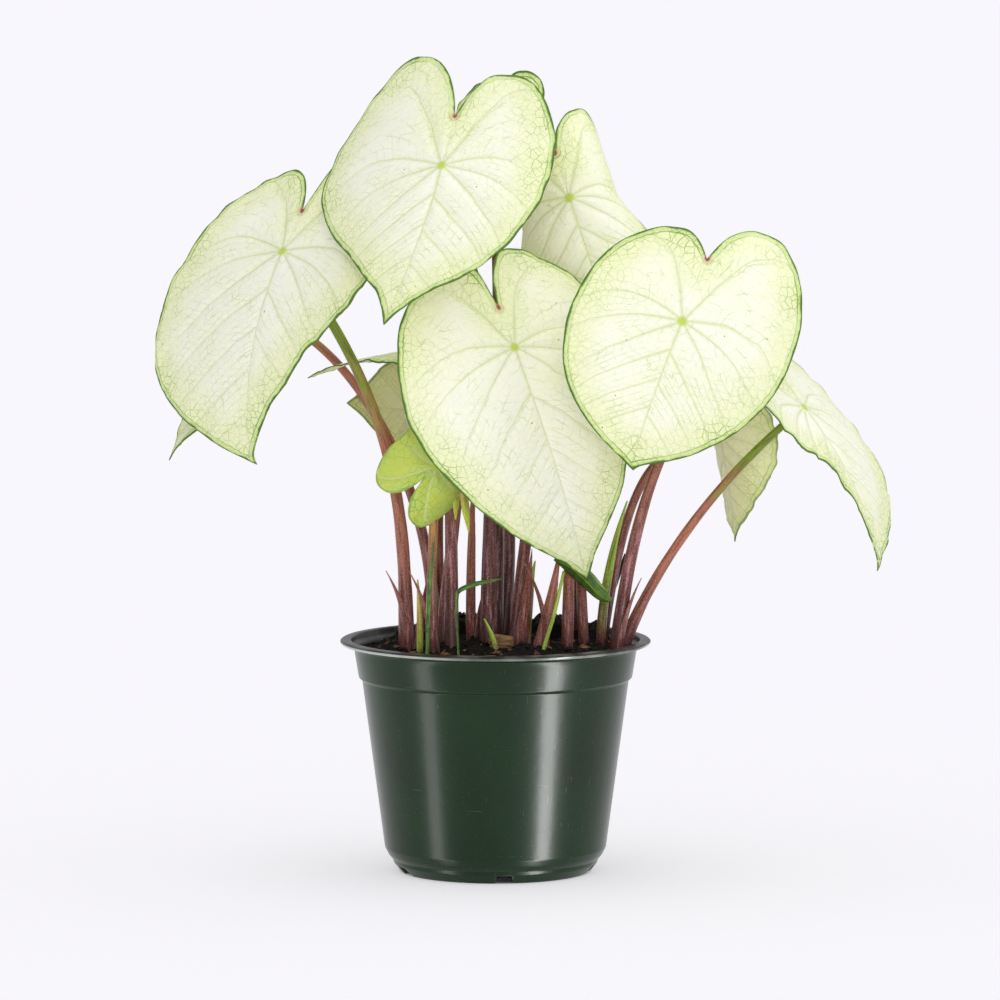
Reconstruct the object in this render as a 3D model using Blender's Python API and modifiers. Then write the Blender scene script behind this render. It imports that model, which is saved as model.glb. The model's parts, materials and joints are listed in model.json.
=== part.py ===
"""A white-leaved caladium with green veins, growing in a round green nursery pot.

The pot stands on the surface with its axis on Z. +Y points away from the viewer. Every blade is one
curved surface given by its outline about the point where the stalk joins it, and every stalk is a
curve from its tuber in the soil to the back of its blade.
"""

from dataclasses import dataclass
from math import cos, pi, radians, sin

import bmesh
import bpy
import numpy as np
from mathutils import Vector

MM = 0.001
GAP = 0.3

RIM_RADIUS = 82.5
RIM_TOP = 124.0
RIM_THICKNESS = 2.6
RIM_INNER = 76.6
STEP_RADIUS = 73.4
WALL = 1.4
BAND_TOP_RADIUS = 74.8
BAND_LOW_RADIUS = 72.6
BAND_LOW = 103.0
BODY_TOP_RADIUS = 70.8
BODY_LOW_RADIUS = 58.8
BODY_LOW = 13.0
GROOVE_RADIUS = 54.8
GROOVE = 7.0
FOOT_RADIUS = 50.0
FOOT_INNER = 43.0
FLOOR_TOP = 4.2
CENTRE_FOOT_RADIUS = 14.0
RECESS = 1.8
POT_STEPS = 44
DRAIN_COUNT = 5
DRAIN_WIDTH = 9.5
DRAIN_TOP_WIDTH = 4.5
DRAIN_HEIGHT = 5.0
DRAIN_LENGTH = 9.0
DRAIN_TURN = 5.5

SOIL_TOP = 118.0
SOIL_BOTTOM = 5.0
SOIL_MOUND = 3.0
SOIL_LUMP = 1.1
SOIL_RADIUS = 72.4
SOIL_SPOKES = 32
SOIL_RINGS = (16, 30, 44, 58, SOIL_RADIUS)
CLOD_SQUASH = 0.75

TUBER_HALF_HEIGHT = 12.0
TUBER_TOP = 96.0
TUBER_DEPTH_SHARE = 0.85
ROOT_SHARE = 0.45
ROOT_SINK = 3.0
PLANTED = 14.0
STALK_SIDES = 6
STALK_STEPS = 10

BLADE_THICKNESS = 0.8
SPOKE_ANGLES = np.radians((0, 4, 12, 27, 45, 65, 86, 107, 127, 145, 159, 171, 180))
RING_SHARES = (0.12, 0.42, 0.74, 1.0)
OUTLINE_ANGLES = np.radians((0, 4, 12, 40, 65, 90, 120, 148, 162, 171, 180))

BLADE_WHITE = (0.80, 0.87, 0.60)
BLADE_YOUNG = (0.52, 0.58, 0.06)
STALK_MAUVE = (0.21, 0.08, 0.06)
SPROUT_GREEN = (0.28, 0.40, 0.04)
SPROUT_YELLOW = (0.62, 0.60, 0.08)
WEED_GREEN = (0.03, 0.11, 0.02)
POT_GREEN = (0.02, 0.05, 0.03)
SOIL_BLACK = (0.015, 0.012, 0.010)
BARK_TAN = (0.35, 0.20, 0.10)
STICK_BLACK = (0.02, 0.015, 0.012)


@dataclass
class Blade:
    """One leaf blade: where its stalk joins it, how it faces, and its half outlines in millimetres.

    Each side is (shoulder, width, lobe): the distance from the joint to the edge at 40, 90 and 148
    degrees from the tip. face is the compass turn of the upper face from the viewer, up its tilt
    towards the sky and spin the turn of the tip within the blade.
    """

    name: str
    at: tuple
    face: float
    up: float
    spin: float
    length: float
    left: tuple
    right: tuple
    sinus: float
    taper: float = 0.35
    swing: float = 0.0
    droop: float = 25.0
    lobe_droop: float = 15.0
    cup: tuple = (15.0, 15.0)
    ease: float = 0.0
    wave: float = 1.5
    phase: float = 0.0
    curl: tuple = (0.0, 0.0)
    colour: tuple = BLADE_WHITE


@dataclass
class Stalk:
    """One leaf stalk: where it leaves the soil, how it leans there, and how far each end runs straight.

    arrive is its direction where it meets the blade, or the blade's normal where none is stated, and
    seat adds to the gap left there. sheath is the share of the way up, the turn and the length of
    the pointed end of its sheath, where one stands out.
    """

    blade: str
    foot: tuple
    lean: tuple
    low_reach: float
    high_reach: float
    radius: float = 3.6
    top_radius: float = 2.2
    arrive: tuple = ()
    seat: float = 0.4
    sheath: tuple = ()


@dataclass
class Shoot:
    """A rolled young leaf or a stick: a tapering stem from the soil to its tip, bowed sideways."""

    name: str
    foot: tuple
    tip: tuple
    radius: float
    bow: tuple = (0.0, 0.0)
    colour: tuple = STALK_MAUVE
    blunt: float = 0.4


BLADES = (
    Blade("blade_high_front", (-28, -72, 379), -26, 38, 4, 90, (64, 79, 81), (70, 59, 66), 32,
          taper=0.30, swing=-12, droop=20, lobe_droop=5, cup=(31, 16), wave=2.0, phase=160,
          curl=(-3, -3)),
    Blade("blade_left", (-112, -20, 331), -40, 33, -4, 115, (107, 67, 55), (63, 63, 74), 25,
          taper=0.40, swing=7, droop=33, lobe_droop=14, cup=(9, 6), wave=1.2, phase=205,
          curl=(-2, -8)),
    Blade("blade_low_front", (10, -40, 282), 26, 26, 11, 135, (89, 68, 57), (81, 65, 63), 23,
          taper=0.50, swing=9, droop=50, lobe_droop=19, cup=(15, 16), wave=1.8, phase=240,
          curl=(-11, -5)),
    Blade("blade_right_front", (97, -70, 298), 9, 11, -24, 82, (70, 56, 51), (66, 64, 72), 36,
          taper=0.50, swing=4, droop=25, lobe_droop=16, cup=(18, 22), wave=0.8, phase=170,
          curl=(-3, 2)),
    Blade("blade_centre", (39, 16, 357), -8, 20, 20, 84, (56, 54, 50), (60, 42, 56), 26,
          droop=40, lobe_droop=0, cup=(105, 170), ease=0.9, wave=1.0, curl=(0, -4)),
    Blade("blade_far_right", (163, -10, 248), 67, 43, 3, 96, (40, 49, 58), (83, 67, 59), 28,
          taper=0.30, swing=-4, droop=31, lobe_droop=20, cup=(1, 13), phase=205),
    Blade("blade_right_back", (120, 20, 230), 120, 12, -8, 57, (38, 36, 28), (38, 34, 30), 15,
          taper=0.45, droop=15, lobe_droop=10, cup=(-60, -60), wave=1.0),
    Blade("blade_high_back", (-2, 2, 393), -40, 24, 4, 58, (38, 33, 34), (32, 22, 38), 15,
          droop=25, lobe_droop=5, cup=(15, 20), wave=1.0, curl=(0, -3)),
    Blade("blade_left_back", (-128, 32, 296), -68, 34, 1, 92, (60, 50, 48), (60, 50, 48), 23,
          taper=0.45, swing=-3, droop=5, lobe_droop=20, cup=(29, 18)),
    Blade("blade_young", (-31, -44, 220), 0, 8, 135, 46, (34, 30, 37), (30, 18, 30), 9,
          droop=25, lobe_droop=10, cup=(30, 110), wave=1.0, colour=BLADE_YOUNG),
    Blade("blade_flat", (-30, 13, 277), -94, 88, -6, 74, (38, 30, 28), (36, 28, 28), 16,
          taper=0.33, swing=-2, droop=22, lobe_droop=20, cup=(34, 15)),
    Blade("blade_behind_low", (-21, 72, 242), 200, 5, 83, 66, (42, 30, 30), (45, 38, 38), 16,
          taper=0.45, swing=11, droop=16, lobe_droop=12, cup=(15, 10)),
    Blade("blade_behind_right", (52, 66, 286), 165, 36, -5, 76, (52, 46, 45), (50, 45, 44), 22,
          droop=35, lobe_droop=15, cup=(20, 15), phase=90),
    Blade("blade_behind_high", (-27, 70, 366), 195, 40, 6, 74, (50, 44, 42), (52, 46, 43), 21,
          droop=35, lobe_droop=15, cup=(15, 20), phase=40),
)

STALKS = (
    Stalk("blade_high_front", (-23, -12), (0.0, 0.06), 120, 50, 3.4, 2.2, (0, -0.95, 0.3)),
    Stalk("blade_left", (-47, -8), (-0.03, 0.0), 55, 110, 4.0, 2.3, (-0.61, 0, 0.79),
          sheath=(0.36, 165, 13)),
    Stalk("blade_low_front", (-4, 4), (0.02, 0.04), 60, 35, 4.4, 2.4),
    Stalk("blade_right_front", (64, -10), (0.11, 0.0), 130, 100, 3.9, 2.2, (-0.17, -0.76, 0.63),
          sheath=(0.12, 10, 11)),
    Stalk("blade_centre", (10, 16), (0.08, 0.10), 80, 40, 3.4, 2.1, seat=0.9),
    Stalk("blade_far_right", (67, 2), (0.38, 0.0), 34, 71, 3.5, 2.2, (0.77, 0, 0.63)),
    Stalk("blade_right_back", (57, 28), (0.14, 0.0), 110, 30, 3.2, 1.9, (0.9, 0.2, 0.2)),
    Stalk("blade_high_back", (0, 32), (0.04, 0.0), 110, 50, 3.4, 2.0, (0, -0.45, 0.9)),
    Stalk("blade_left_back", (-33, 26), (0.04, 0.25), 75, 60, 3.3, 2.0, (-0.93, -0.25, 0.27)),
    Stalk("blade_young", (-33, -30), (-0.03, -0.04), 60, 20, 3.0, 1.9, (0, -0.5, 0.85)),
    Stalk("blade_flat", (-30, 42), (-0.02, -0.1), 60, 40, 2.8, 1.8),
    Stalk("blade_behind_low", (-28, 8), (0.05, 0.0), 50, 25, 3.8, 2.1),
    Stalk("blade_behind_right", (44, 34), (0.0, 0.05), 60, 40, 3.3, 2.0),
    Stalk("blade_behind_high", (4, 52), (0.12, 0.12), 120, 60, 3.3, 2.0),
)

SHOOTS = (
    Shoot("shoot_front", (22, -12), (34, -9, 172), 3.4, (1, 0)),
    Shoot("shoot_middle", (38, -4), (40, 0, 212), 3.4),
    Shoot("shoot_back", (47, 12), (43, 10, 205), 3.0),
    Shoot("shoot_left", (-13, 20), (-11, 12, 214), 2.8, (-1, 0)),
    Shoot("spike_centre", (16, -4), (21, -6, 166), 2.8, (-1, 0), SPROUT_GREEN),
    Shoot("spike_right", (56, 18), (70, 12, 196), 2.8, (-3, 0), SPROUT_GREEN),
    Shoot("spike_yellow", (-40, -24), (-41, -24, 158), 1.9, (0.5, 0), SPROUT_YELLOW),
    Shoot("sprout_small", (1, -31), (-6, -30, 138), 1.5, (1, 0), SPROUT_GREEN),
    Shoot("stick", (52, 44), (70, 34, 165), 1.6, (0, 0), STICK_BLACK, 1.3),
)

TUBERS = (
    ("tuber_left", (-32, 2), 19.0),
    ("tuber_centre", (5, 16), 15.0),
    ("tuber_right", (49, 8), 17.0),
    ("tuber_back", (-10, 47), 13.0),
)

CLODS = (
    (-15, 48, 124, 11.0),
    (30, 44, 124, 11.0),
    (51, 34, 121, 10.0),
    (18, 58, 119, 9.5),
    (-46, 36, 119, 9.0),
    (14, -38, 119, 7.5),
    (44, -36, 117, 8.5),
    (-56, -20, 117, 7.0),
)


def clear_scene():
    for obj in list(bpy.data.objects):
        bpy.data.objects.remove(obj, do_unlink=True)


def new_collection(name):
    made = bpy.data.collections.new(name)
    bpy.context.scene.collection.children.link(made)
    return made


def material(name, colour, roughness):
    found = bpy.data.materials.get(name)
    if found:
        return found
    made = bpy.data.materials.new(name)
    made.use_nodes = True
    shader = made.node_tree.nodes["Principled BSDF"]
    shader.inputs["Base Color"].default_value = (*colour, 1)
    shader.inputs["Roughness"].default_value = roughness
    return made


def add_object(name, mesh, collection, surface=None):
    obj = bpy.data.objects.new(name, mesh)
    collection.objects.link(obj)
    if surface:
        mesh.materials.append(surface)
    return obj


def as_cutter(obj):
    obj.hide_render = True
    obj.display_type = "WIRE"
    return obj


def boolean(obj, cutter, operation="DIFFERENCE"):
    cut = obj.modifiers.new(cutter.name, "BOOLEAN")
    cut.operation = operation
    cut.solver = "EXACT"
    cut.object = cutter


def turned(name, profile, steps, collection, surface=None):
    """A closed profile of (radius, height) points in millimetres, turned about Z."""
    points = [(r * MM, 0, z * MM) for r, z in profile]
    edges = [(i, i + 1) for i in range(len(points) - 1)]
    if profile[0][0] > 0 and profile[-1][0] > 0:
        edges.append((len(points) - 1, 0))
    mesh = bpy.data.meshes.new(name)
    mesh.from_pydata(points, edges, [])
    obj = add_object(name, mesh, collection, surface)
    screw = obj.modifiers.new("turn", "SCREW")
    screw.steps = steps
    screw.render_steps = steps
    screw.use_merge_vertices = True
    screw.merge_threshold = 0.00001
    return obj


def smooth_through(angle, knots, values):
    """The monotone cubic through the values at the knots, read at each angle."""
    step = np.diff(knots)
    slope = np.diff(values) / step
    tangent = np.zeros_like(values)
    before = 2 * step[1:] + step[:-1]
    after = step[1:] + 2 * step[:-1]
    rising = slope[1:] * slope[:-1] > 0
    safe = np.where(rising, slope[1:] * slope[:-1], 1.0)
    mean = (before + after) * safe / (before * slope[1:] + after * slope[:-1] + (~rising))
    tangent[1:-1] = np.where(rising, mean, 0)
    tangent[0] = slope[0]
    tangent[-1] = slope[-1]
    i = np.clip(np.searchsorted(knots, angle, side="right") - 1, 0, len(step) - 1)
    t = (angle - knots[i]) / step[i]
    return (
        (1 + 2 * t) * (1 - t) ** 2 * values[i]
        + t * (1 - t) ** 2 * step[i] * tangent[i]
        + t * t * (3 - 2 * t) * values[i + 1]
        + t * t * (t - 1) * step[i] * tangent[i + 1]
    )


def half_outline(angle, blade, side):
    """Distance from the joint to the edge at each angle from the tip, on one side."""
    shoulder, width, lobe = side
    taper = blade.taper
    reach = blade.length - shoulder
    values = np.array((
        blade.length,
        shoulder + (0.5 + 0.5 * taper) * reach,
        shoulder + taper * reach,
        shoulder,
        0.49 * (shoulder + width),
        width,
        0.5 * (width + lobe),
        lobe,
        0.88 * lobe + 0.08 * blade.sinus,
        0.62 * lobe + 0.30 * blade.sinus,
        blade.sinus,
    ))
    return smooth_through(angle, OUTLINE_ANGLES, values)


def blade_axes(blade):
    """The blade's own across, along and normal directions at the joint."""
    face, up, spin = radians(blade.face), radians(blade.up), radians(blade.spin)
    normal = np.array((sin(face) * cos(up), -cos(face) * cos(up), sin(up)))
    down = np.array((sin(face) * sin(up), -cos(face) * sin(up), -cos(up)))
    along = cos(spin) * down + sin(spin) * np.cross(normal, down)
    return np.cross(normal, along), along, normal


def midrib_curve(blade):
    """Length, bend and position of the midrib, from behind the lobes to past the tip."""
    lobe = max(blade.left[2], blade.right[2])
    run = np.linspace(-1.2 * lobe, 1.1 * blade.length, 400)
    bend = np.where(run >= 0, radians(blade.droop) * run / blade.length,
                    radians(blade.lobe_droop) * run / lobe)
    step = run[1] - run[0]
    forward = np.concatenate(([0], np.cumsum(0.5 * (np.cos(bend[1:]) + np.cos(bend[:-1])) * step)))
    fall = -np.concatenate(([0], np.cumsum(0.5 * (np.sin(bend[1:]) + np.sin(bend[:-1])) * step)))
    return run, bend, forward - np.interp(0, run, forward), fall - np.interp(0, run, fall)


def blade_points(blade, angle, share):
    """Points of the blade at the given angles from the tip and shares of the way to the edge.

    The flat outline is swung towards the tip, bent down along the midrib, rolled down across it in
    an arc on each side, and given a wave that grows towards the edge.
    """
    turn = np.abs(angle)
    on_right = angle >= 0
    edge = np.where(on_right, half_outline(turn, blade, blade.right),
                    half_outline(turn, blade, blade.left))
    x = edge * share * np.sin(angle)
    y = edge * share * np.cos(angle)
    forward_share = np.clip(y / blade.length, 0, 1)
    x = x + radians(blade.swing) * blade.length * forward_share**2
    run, bend, forward, fall = midrib_curve(blade)
    width = np.where(x >= 0, blade.right[1], blade.left[1])
    roll = np.radians(np.where(x >= 0, blade.cup[1], blade.cup[0])) * (1 - blade.ease * forward_share)
    arc = roll * np.abs(x) / width
    across = width / roll * np.sin(arc) * np.sign(x)
    lift = -width / roll * (1 - np.cos(arc))
    curl = np.where(on_right, blade.curl[1], blade.curl[0])
    lift = lift - curl * np.clip((turn - radians(125)) / radians(35), 0, 1) ** 2 * share**3
    ripple = np.sin(5 * angle + radians(blade.phase)) * np.sin(turn / 2 + 0.2)
    lift = lift + blade.wave * share**3 * ripple
    tilt = np.interp(y, run, bend)
    length = np.interp(y, run, forward) + lift * np.sin(tilt)
    height = np.interp(y, run, fall) + lift * np.cos(tilt)
    side_axis, along_axis, normal = blade_axes(blade)
    local = across[:, None] * side_axis + length[:, None] * along_axis + height[:, None] * normal
    return np.array(blade.at) + local


def make_blade(blade, collection):
    """An open sheet of triangles about the joint, thickened by Solidify."""
    angles = np.concatenate((-SPOKE_ANGLES[::-1][:-1], SPOKE_ANGLES))
    spokes = len(angles)
    rings = [blade_points(blade, angles, np.full(spokes, share)) for share in RING_SHARES]
    points = [Vector(p) * MM for ring in rings for p in ring]
    points.append(Vector(blade.at) * MM)
    centre = len(points) - 1
    faces = []
    for s in range(spokes - 1):
        faces.append((centre, s, s + 1))
        for r in range(len(rings) - 1):
            inner, outer = r * spokes + s, (r + 1) * spokes + s
            if angles[s] < 0:
                faces.append((inner, outer, outer + 1))
                faces.append((inner, outer + 1, inner + 1))
            else:
                faces.append((inner, outer, inner + 1))
                faces.append((inner + 1, outer, outer + 1))
    mesh = bpy.data.meshes.new(blade.name)
    mesh.from_pydata(points, [], faces)
    shade = bmesh.new()
    shade.from_mesh(mesh)
    bmesh.ops.remove_doubles(shade, verts=shade.verts, dist=0.00001)
    shade.to_mesh(mesh)
    shade.free()
    surface = material("young leaf" if blade.colour == BLADE_YOUNG else "white leaf", blade.colour, 0.5)
    obj = add_object(blade.name, mesh, collection, surface)
    sheet = obj.modifiers.new("thickness", "SOLIDIFY")
    sheet.thickness = BLADE_THICKNESS * MM
    sheet.offset = 0
    mesh.shade_smooth()
    return obj


def cubic(start, near_start, near_end, end, t):
    return (
        (1 - t) ** 3 * start
        + 3 * (1 - t) ** 2 * t * near_start
        + 3 * (1 - t) * t * t * near_end
        + t**3 * end
    )


def root_point(foot):
    """The end of a stem inside the nearest tuber's top."""
    near = min(TUBERS, key=lambda tuber: (tuber[1][0] - foot[0]) ** 2 + (tuber[1][1] - foot[1]) ** 2)
    place, radius = near[1], near[2]
    out = Vector(foot) - Vector(place)
    out = out * ROOT_SHARE
    limit = 0.8 * radius * TUBER_DEPTH_SHARE
    if out.length > limit:
        out = out.normalized() * limit
    share = Vector((out.x / radius, out.y / (radius * TUBER_DEPTH_SHARE))).length
    height = TUBER_TOP - TUBER_HALF_HEIGHT * (1 - (1 - share**2) ** 0.5) - ROOT_SINK
    return Vector((place[0] + out.x, place[1] + out.y, height))


def stalk_path(stalk, blade):
    """Points and radii from inside the tuber's hollow to just short of the blade's back."""
    normal = Vector(blade_axes(blade)[2])
    arrive = Vector(stalk.arrive or normal).normalized()
    foot = Vector((*stalk.foot, SOIL_TOP))
    lean = Vector((*stalk.lean, 1)).normalized()
    slant = (1 - min(1, arrive.dot(normal)) ** 2) ** 0.5
    short = BLADE_THICKNESS / 2 + GAP + stalk.seat + stalk.top_radius * slant
    end = Vector(blade.at) - normal * short
    near_start = foot + lean * stalk.low_reach
    near_end = end - arrive * stalk.high_reach
    run = [i / STALK_STEPS for i in range(STALK_STEPS + 1)]
    points = [root_point(stalk.foot), foot - lean * 5]
    points += [cubic(foot, near_start, near_end, end, t) for t in run]
    radii = [stalk.radius * 0.8, stalk.radius * 1.05]
    radii += [stalk.radius + (stalk.top_radius - stalk.radius) * t**0.8 for t in run]
    return points, radii


def sheath_path(stalk, points):
    """A thin pointed branch leaving the stalk, given as height share, turn and length."""
    share, turn, length = stalk.sheath
    step, part = divmod(share * STALK_STEPS, 1)
    start = points[2 + int(step)].lerp(points[3 + int(step)], part)
    out = Vector((cos(radians(turn)), sin(radians(turn)), 0))
    up = Vector((0, 0, 1))
    return [start - up * length, start + out * stalk.radius * 0.8, start + (out * 0.8 + up) * length * 0.8]


def shoot_path(shoot, steps=6):
    """Points and radii of a tapering stem, planted below the soil's top."""
    foot = Vector((*shoot.foot, SOIL_TOP))
    tip = Vector(shoot.tip)
    bow = Vector((*shoot.bow, 0))
    points = [foot - Vector((0, 0, PLANTED))]
    radii = [shoot.radius]
    for i in range(steps + 1):
        t = i / steps
        points.append(foot.lerp(tip, t) + bow * 4 * t * (1 - t))
        radii.append(shoot.radius + (shoot.blunt - shoot.radius) * t**2.2)
    return points, radii


def tube(name, points, radii, sides, collection, surface=None, extra=0.0):
    """A round stem along the points, made a mesh with its caps welded."""
    curve = bpy.data.curves.new(name, "CURVE")
    curve.dimensions = "3D"
    curve.bevel_depth = MM
    curve.bevel_resolution = max(0, (sides - 4) // 2)
    curve.use_fill_caps = True
    spline = curve.splines.new("POLY")
    spline.points.add(len(points) - 1)
    for place, point, radius in zip(spline.points, points, radii):
        place.co = (*(point * MM), 1)
        place.radius = radius + extra
    guide = bpy.data.objects.new(name + "_guide", curve)
    bpy.context.scene.collection.objects.link(guide)
    bpy.context.view_layer.update()
    graph = bpy.context.evaluated_depsgraph_get()
    mesh = bpy.data.meshes.new_from_object(guide.evaluated_get(graph))
    bpy.data.objects.remove(guide, do_unlink=True)
    weld = bmesh.new()
    weld.from_mesh(mesh)
    bmesh.ops.remove_doubles(weld, verts=weld.verts, dist=0.00001)
    bmesh.ops.recalc_face_normals(weld, faces=weld.faces)
    weld.to_mesh(mesh)
    weld.free()
    mesh.name = name
    mesh.materials.clear()
    mesh.shade_smooth()
    return add_object(name, mesh, collection, surface)


def make_pot(collection, cutters):
    """The turned pot: flat rim, inner step, band, groove, foot ring and centre foot, with drain notches."""
    profile = (
        (0, FLOOR_TOP),
        (FOOT_INNER, FLOOR_TOP),
        (GROOVE_RADIUS - WALL - 1.5, GROOVE + 1.0),
        (BODY_LOW_RADIUS - WALL, BODY_LOW + 1.0),
        (BODY_TOP_RADIUS - WALL, BAND_LOW - 1.0),
        (BAND_LOW_RADIUS - WALL, BAND_LOW + 1.0),
        (STEP_RADIUS, RIM_TOP - 6.0),
        (STEP_RADIUS + 0.6, RIM_TOP - 4.4),
        (RIM_INNER - 0.5, RIM_TOP - 3.4),
        (RIM_INNER, RIM_TOP - 0.4),
        (RIM_INNER + 0.8, RIM_TOP),
        (RIM_RADIUS - 1.0, RIM_TOP - 0.3),
        (RIM_RADIUS, RIM_TOP - 1.2),
        (RIM_RADIUS - 0.3, RIM_TOP - RIM_THICKNESS + 0.4),
        (RIM_RADIUS - 1.0, RIM_TOP - RIM_THICKNESS),
        (RIM_INNER + 1.6, RIM_TOP - RIM_THICKNESS),
        (BAND_TOP_RADIUS + 0.6, RIM_TOP - RIM_THICKNESS - 1.6),
        (BAND_TOP_RADIUS, RIM_TOP - RIM_THICKNESS - 4.0),
        (BAND_LOW_RADIUS, BAND_LOW + 0.8),
        (BAND_LOW_RADIUS - 0.8, BAND_LOW),
        (BODY_TOP_RADIUS, BAND_LOW - 0.6),
        (BODY_LOW_RADIUS, BODY_LOW),
        (BODY_LOW_RADIUS - 1.8, BODY_LOW - 3.6),
        (GROOVE_RADIUS + 0.8, GROOVE + 0.6),
        (GROOVE_RADIUS, GROOVE),
        (GROOVE_RADIUS - 0.6, GROOVE - 2.2),
        (FOOT_RADIUS + 1.4, 1.4),
        (FOOT_RADIUS, 0),
        (FOOT_INNER, 0),
        (FOOT_INNER - 1.2, RECESS),
        (CENTRE_FOOT_RADIUS + 1.2, RECESS),
        (CENTRE_FOOT_RADIUS, 0),
        (0, 0),
    )
    surface = material("pot plastic", POT_GREEN, 0.25)
    pot = turned("pot", profile, POT_STEPS, collection, surface)
    for i in range(DRAIN_COUNT):
        turn = radians(DRAIN_TURN - 90 + i * 360 / DRAIN_COUNT)
        mesh = bpy.data.meshes.new(f"drain_{i}")
        block = bmesh.new()
        bmesh.ops.create_cube(block, size=1)
        block.to_mesh(mesh)
        block.free()
        for vertex in mesh.vertices:
            width = DRAIN_TOP_WIDTH if vertex.co.z > 0 else DRAIN_WIDTH
            vertex.co.x *= DRAIN_LENGTH * MM
            vertex.co.y *= width * MM
            vertex.co.z = DRAIN_HEIGHT * MM if vertex.co.z > 0 else -1 * MM
        cutter = as_cutter(add_object(f"drain_{i}", mesh, cutters))
        out = (FOOT_RADIUS + 2) * MM
        cutter.location = (out * cos(turn), out * sin(turn), 0)
        cutter.rotation_euler = (0, 0, turn)
        boolean(pot, cutter)
    pot.data.shade_smooth()
    return pot


def soil_height(radius, turn):
    """Height of the soil's lumpy, slightly mounded top."""
    mound = SOIL_MOUND * (1 - (radius / SOIL_RADIUS) ** 2)
    lumps = sin(3 * turn + radius / 9) + sin(7 * turn - radius / 6 + 1) + sin(radius / 4 + 2 * turn)
    return SOIL_TOP + mound + SOIL_LUMP * 0.6 * lumps


def soil_side(height):
    """The radius that clears the facets of the pot's body wall at this height."""
    share = (height - BODY_LOW) / (BAND_LOW - BODY_LOW)
    wall = BODY_LOW_RADIUS + (BODY_TOP_RADIUS - BODY_LOW_RADIUS) * share - WALL
    return wall * cos(pi / POT_STEPS) - GAP


def make_clod(index, clod, cutters):
    x, y, z, radius = clod
    mesh = bpy.data.meshes.new(f"clod_{index}")
    ball = bmesh.new()
    bmesh.ops.create_icosphere(ball, subdivisions=1, radius=radius * MM)
    for vertex in ball.verts:
        vertex.co *= 1 + 0.14 * sin(5 * index + 900 * vertex.co.x + 1300 * vertex.co.y)
        vertex.co.z *= CLOD_SQUASH
    ball.to_mesh(mesh)
    ball.free()
    obj = as_cutter(add_object(f"clod_{index}", mesh, cutters))
    obj.location = Vector((x, y, z)) * MM
    return obj


def make_soil(collection, cutters):
    """One closed lump filling the pot, its top in rings of lumpy points, with clods joined to it."""
    sides = (
        (SOIL_RADIUS - 1.6, BAND_LOW + 3.0),
        (SOIL_RADIUS - 1.8, BAND_LOW + 1.6),
        (soil_side(BAND_LOW - 1.0), BAND_LOW - 1.2),
        (soil_side(BODY_LOW + 3.0) - 0.2, BODY_LOW + 3.0),
        (GROOVE_RADIUS - WALL - 4, SOIL_BOTTOM + 4),
        (FOOT_INNER - 1, SOIL_BOTTOM),
    )
    turns = [s * 2 * pi / SOIL_SPOKES for s in range(SOIL_SPOKES)]
    points = [(0, 0, soil_height(0, 0))]
    for radius in SOIL_RINGS:
        points += [(radius * cos(t), radius * sin(t), soil_height(radius, t)) for t in turns]
    for radius, height in sides:
        points += [(radius * cos(t), radius * sin(t), height) for t in turns]
    points.append((0, 0, SOIL_BOTTOM))
    loops = len(SOIL_RINGS) + len(sides)
    last = len(points) - 1
    base = last - SOIL_SPOKES
    faces = []
    for s in range(SOIL_SPOKES):
        follow = (s + 1) % SOIL_SPOKES
        faces.append((0, 1 + s, 1 + follow))
        faces.append((base + s, last, base + follow))
        for r in range(loops - 1):
            inner, outer = 1 + r * SOIL_SPOKES, 1 + (r + 1) * SOIL_SPOKES
            faces.append((inner + s, outer + s, outer + follow))
            faces.append((inner + s, outer + follow, inner + follow))
    mesh = bpy.data.meshes.new("soil")
    mesh.from_pydata([Vector(p) * MM for p in points], [], faces)
    soil = add_object("soil", mesh, collection, material("peat", SOIL_BLACK, 0.95))
    for index, clod in enumerate(CLODS):
        boolean(soil, make_clod(index, clod, cutters), "UNION")
    return soil


def make_ribbon(name, points, widths, side, collection, surface=None, extra=0.0):
    """A narrow leaf: a strip along the points, as wide as stated, thickened by Solidify."""
    side = Vector(side).normalized()
    places = []
    for point, width in zip(points, widths):
        middle = Vector(point)
        half = side * (width / 2 + extra)
        places += [(middle - half) * MM, (middle + half) * MM]
    faces = []
    for i in range(len(points) - 1):
        a = 2 * i
        faces += [(a, a + 1, a + 3), (a, a + 3, a + 2)]
    mesh = bpy.data.meshes.new(name)
    mesh.from_pydata(places, [], faces)
    obj = add_object(name, mesh, collection, surface)
    sheet = obj.modifiers.new("thickness", "SOLIDIFY")
    sheet.thickness = (BLADE_THICKNESS + 2 * extra) * MM
    sheet.offset = 0
    mesh.shade_smooth()
    return obj


def make_block(name, place, size, turns, collection, surface=None, extra=0.0):
    """A small bark piece: a block turned as stated, with its edges bevelled."""
    mesh = bpy.data.meshes.new(name)
    block = bmesh.new()
    bmesh.ops.create_cube(block, size=1)
    for vertex in block.verts:
        vertex.co.x *= (size[0] + 2 * extra) * MM
        vertex.co.y *= (size[1] + 2 * extra) * MM
        vertex.co.z *= (size[2] + 2 * extra) * MM
    block.to_mesh(mesh)
    block.free()
    obj = add_object(name, mesh, collection, surface)
    obj.location = Vector(place) * MM
    obj.rotation_euler = [radians(t) for t in turns]
    bevel = obj.modifiers.new("edges", "BEVEL")
    bevel.width = 0.2 * size[2] * MM
    bevel.segments = 1
    return obj


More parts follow.
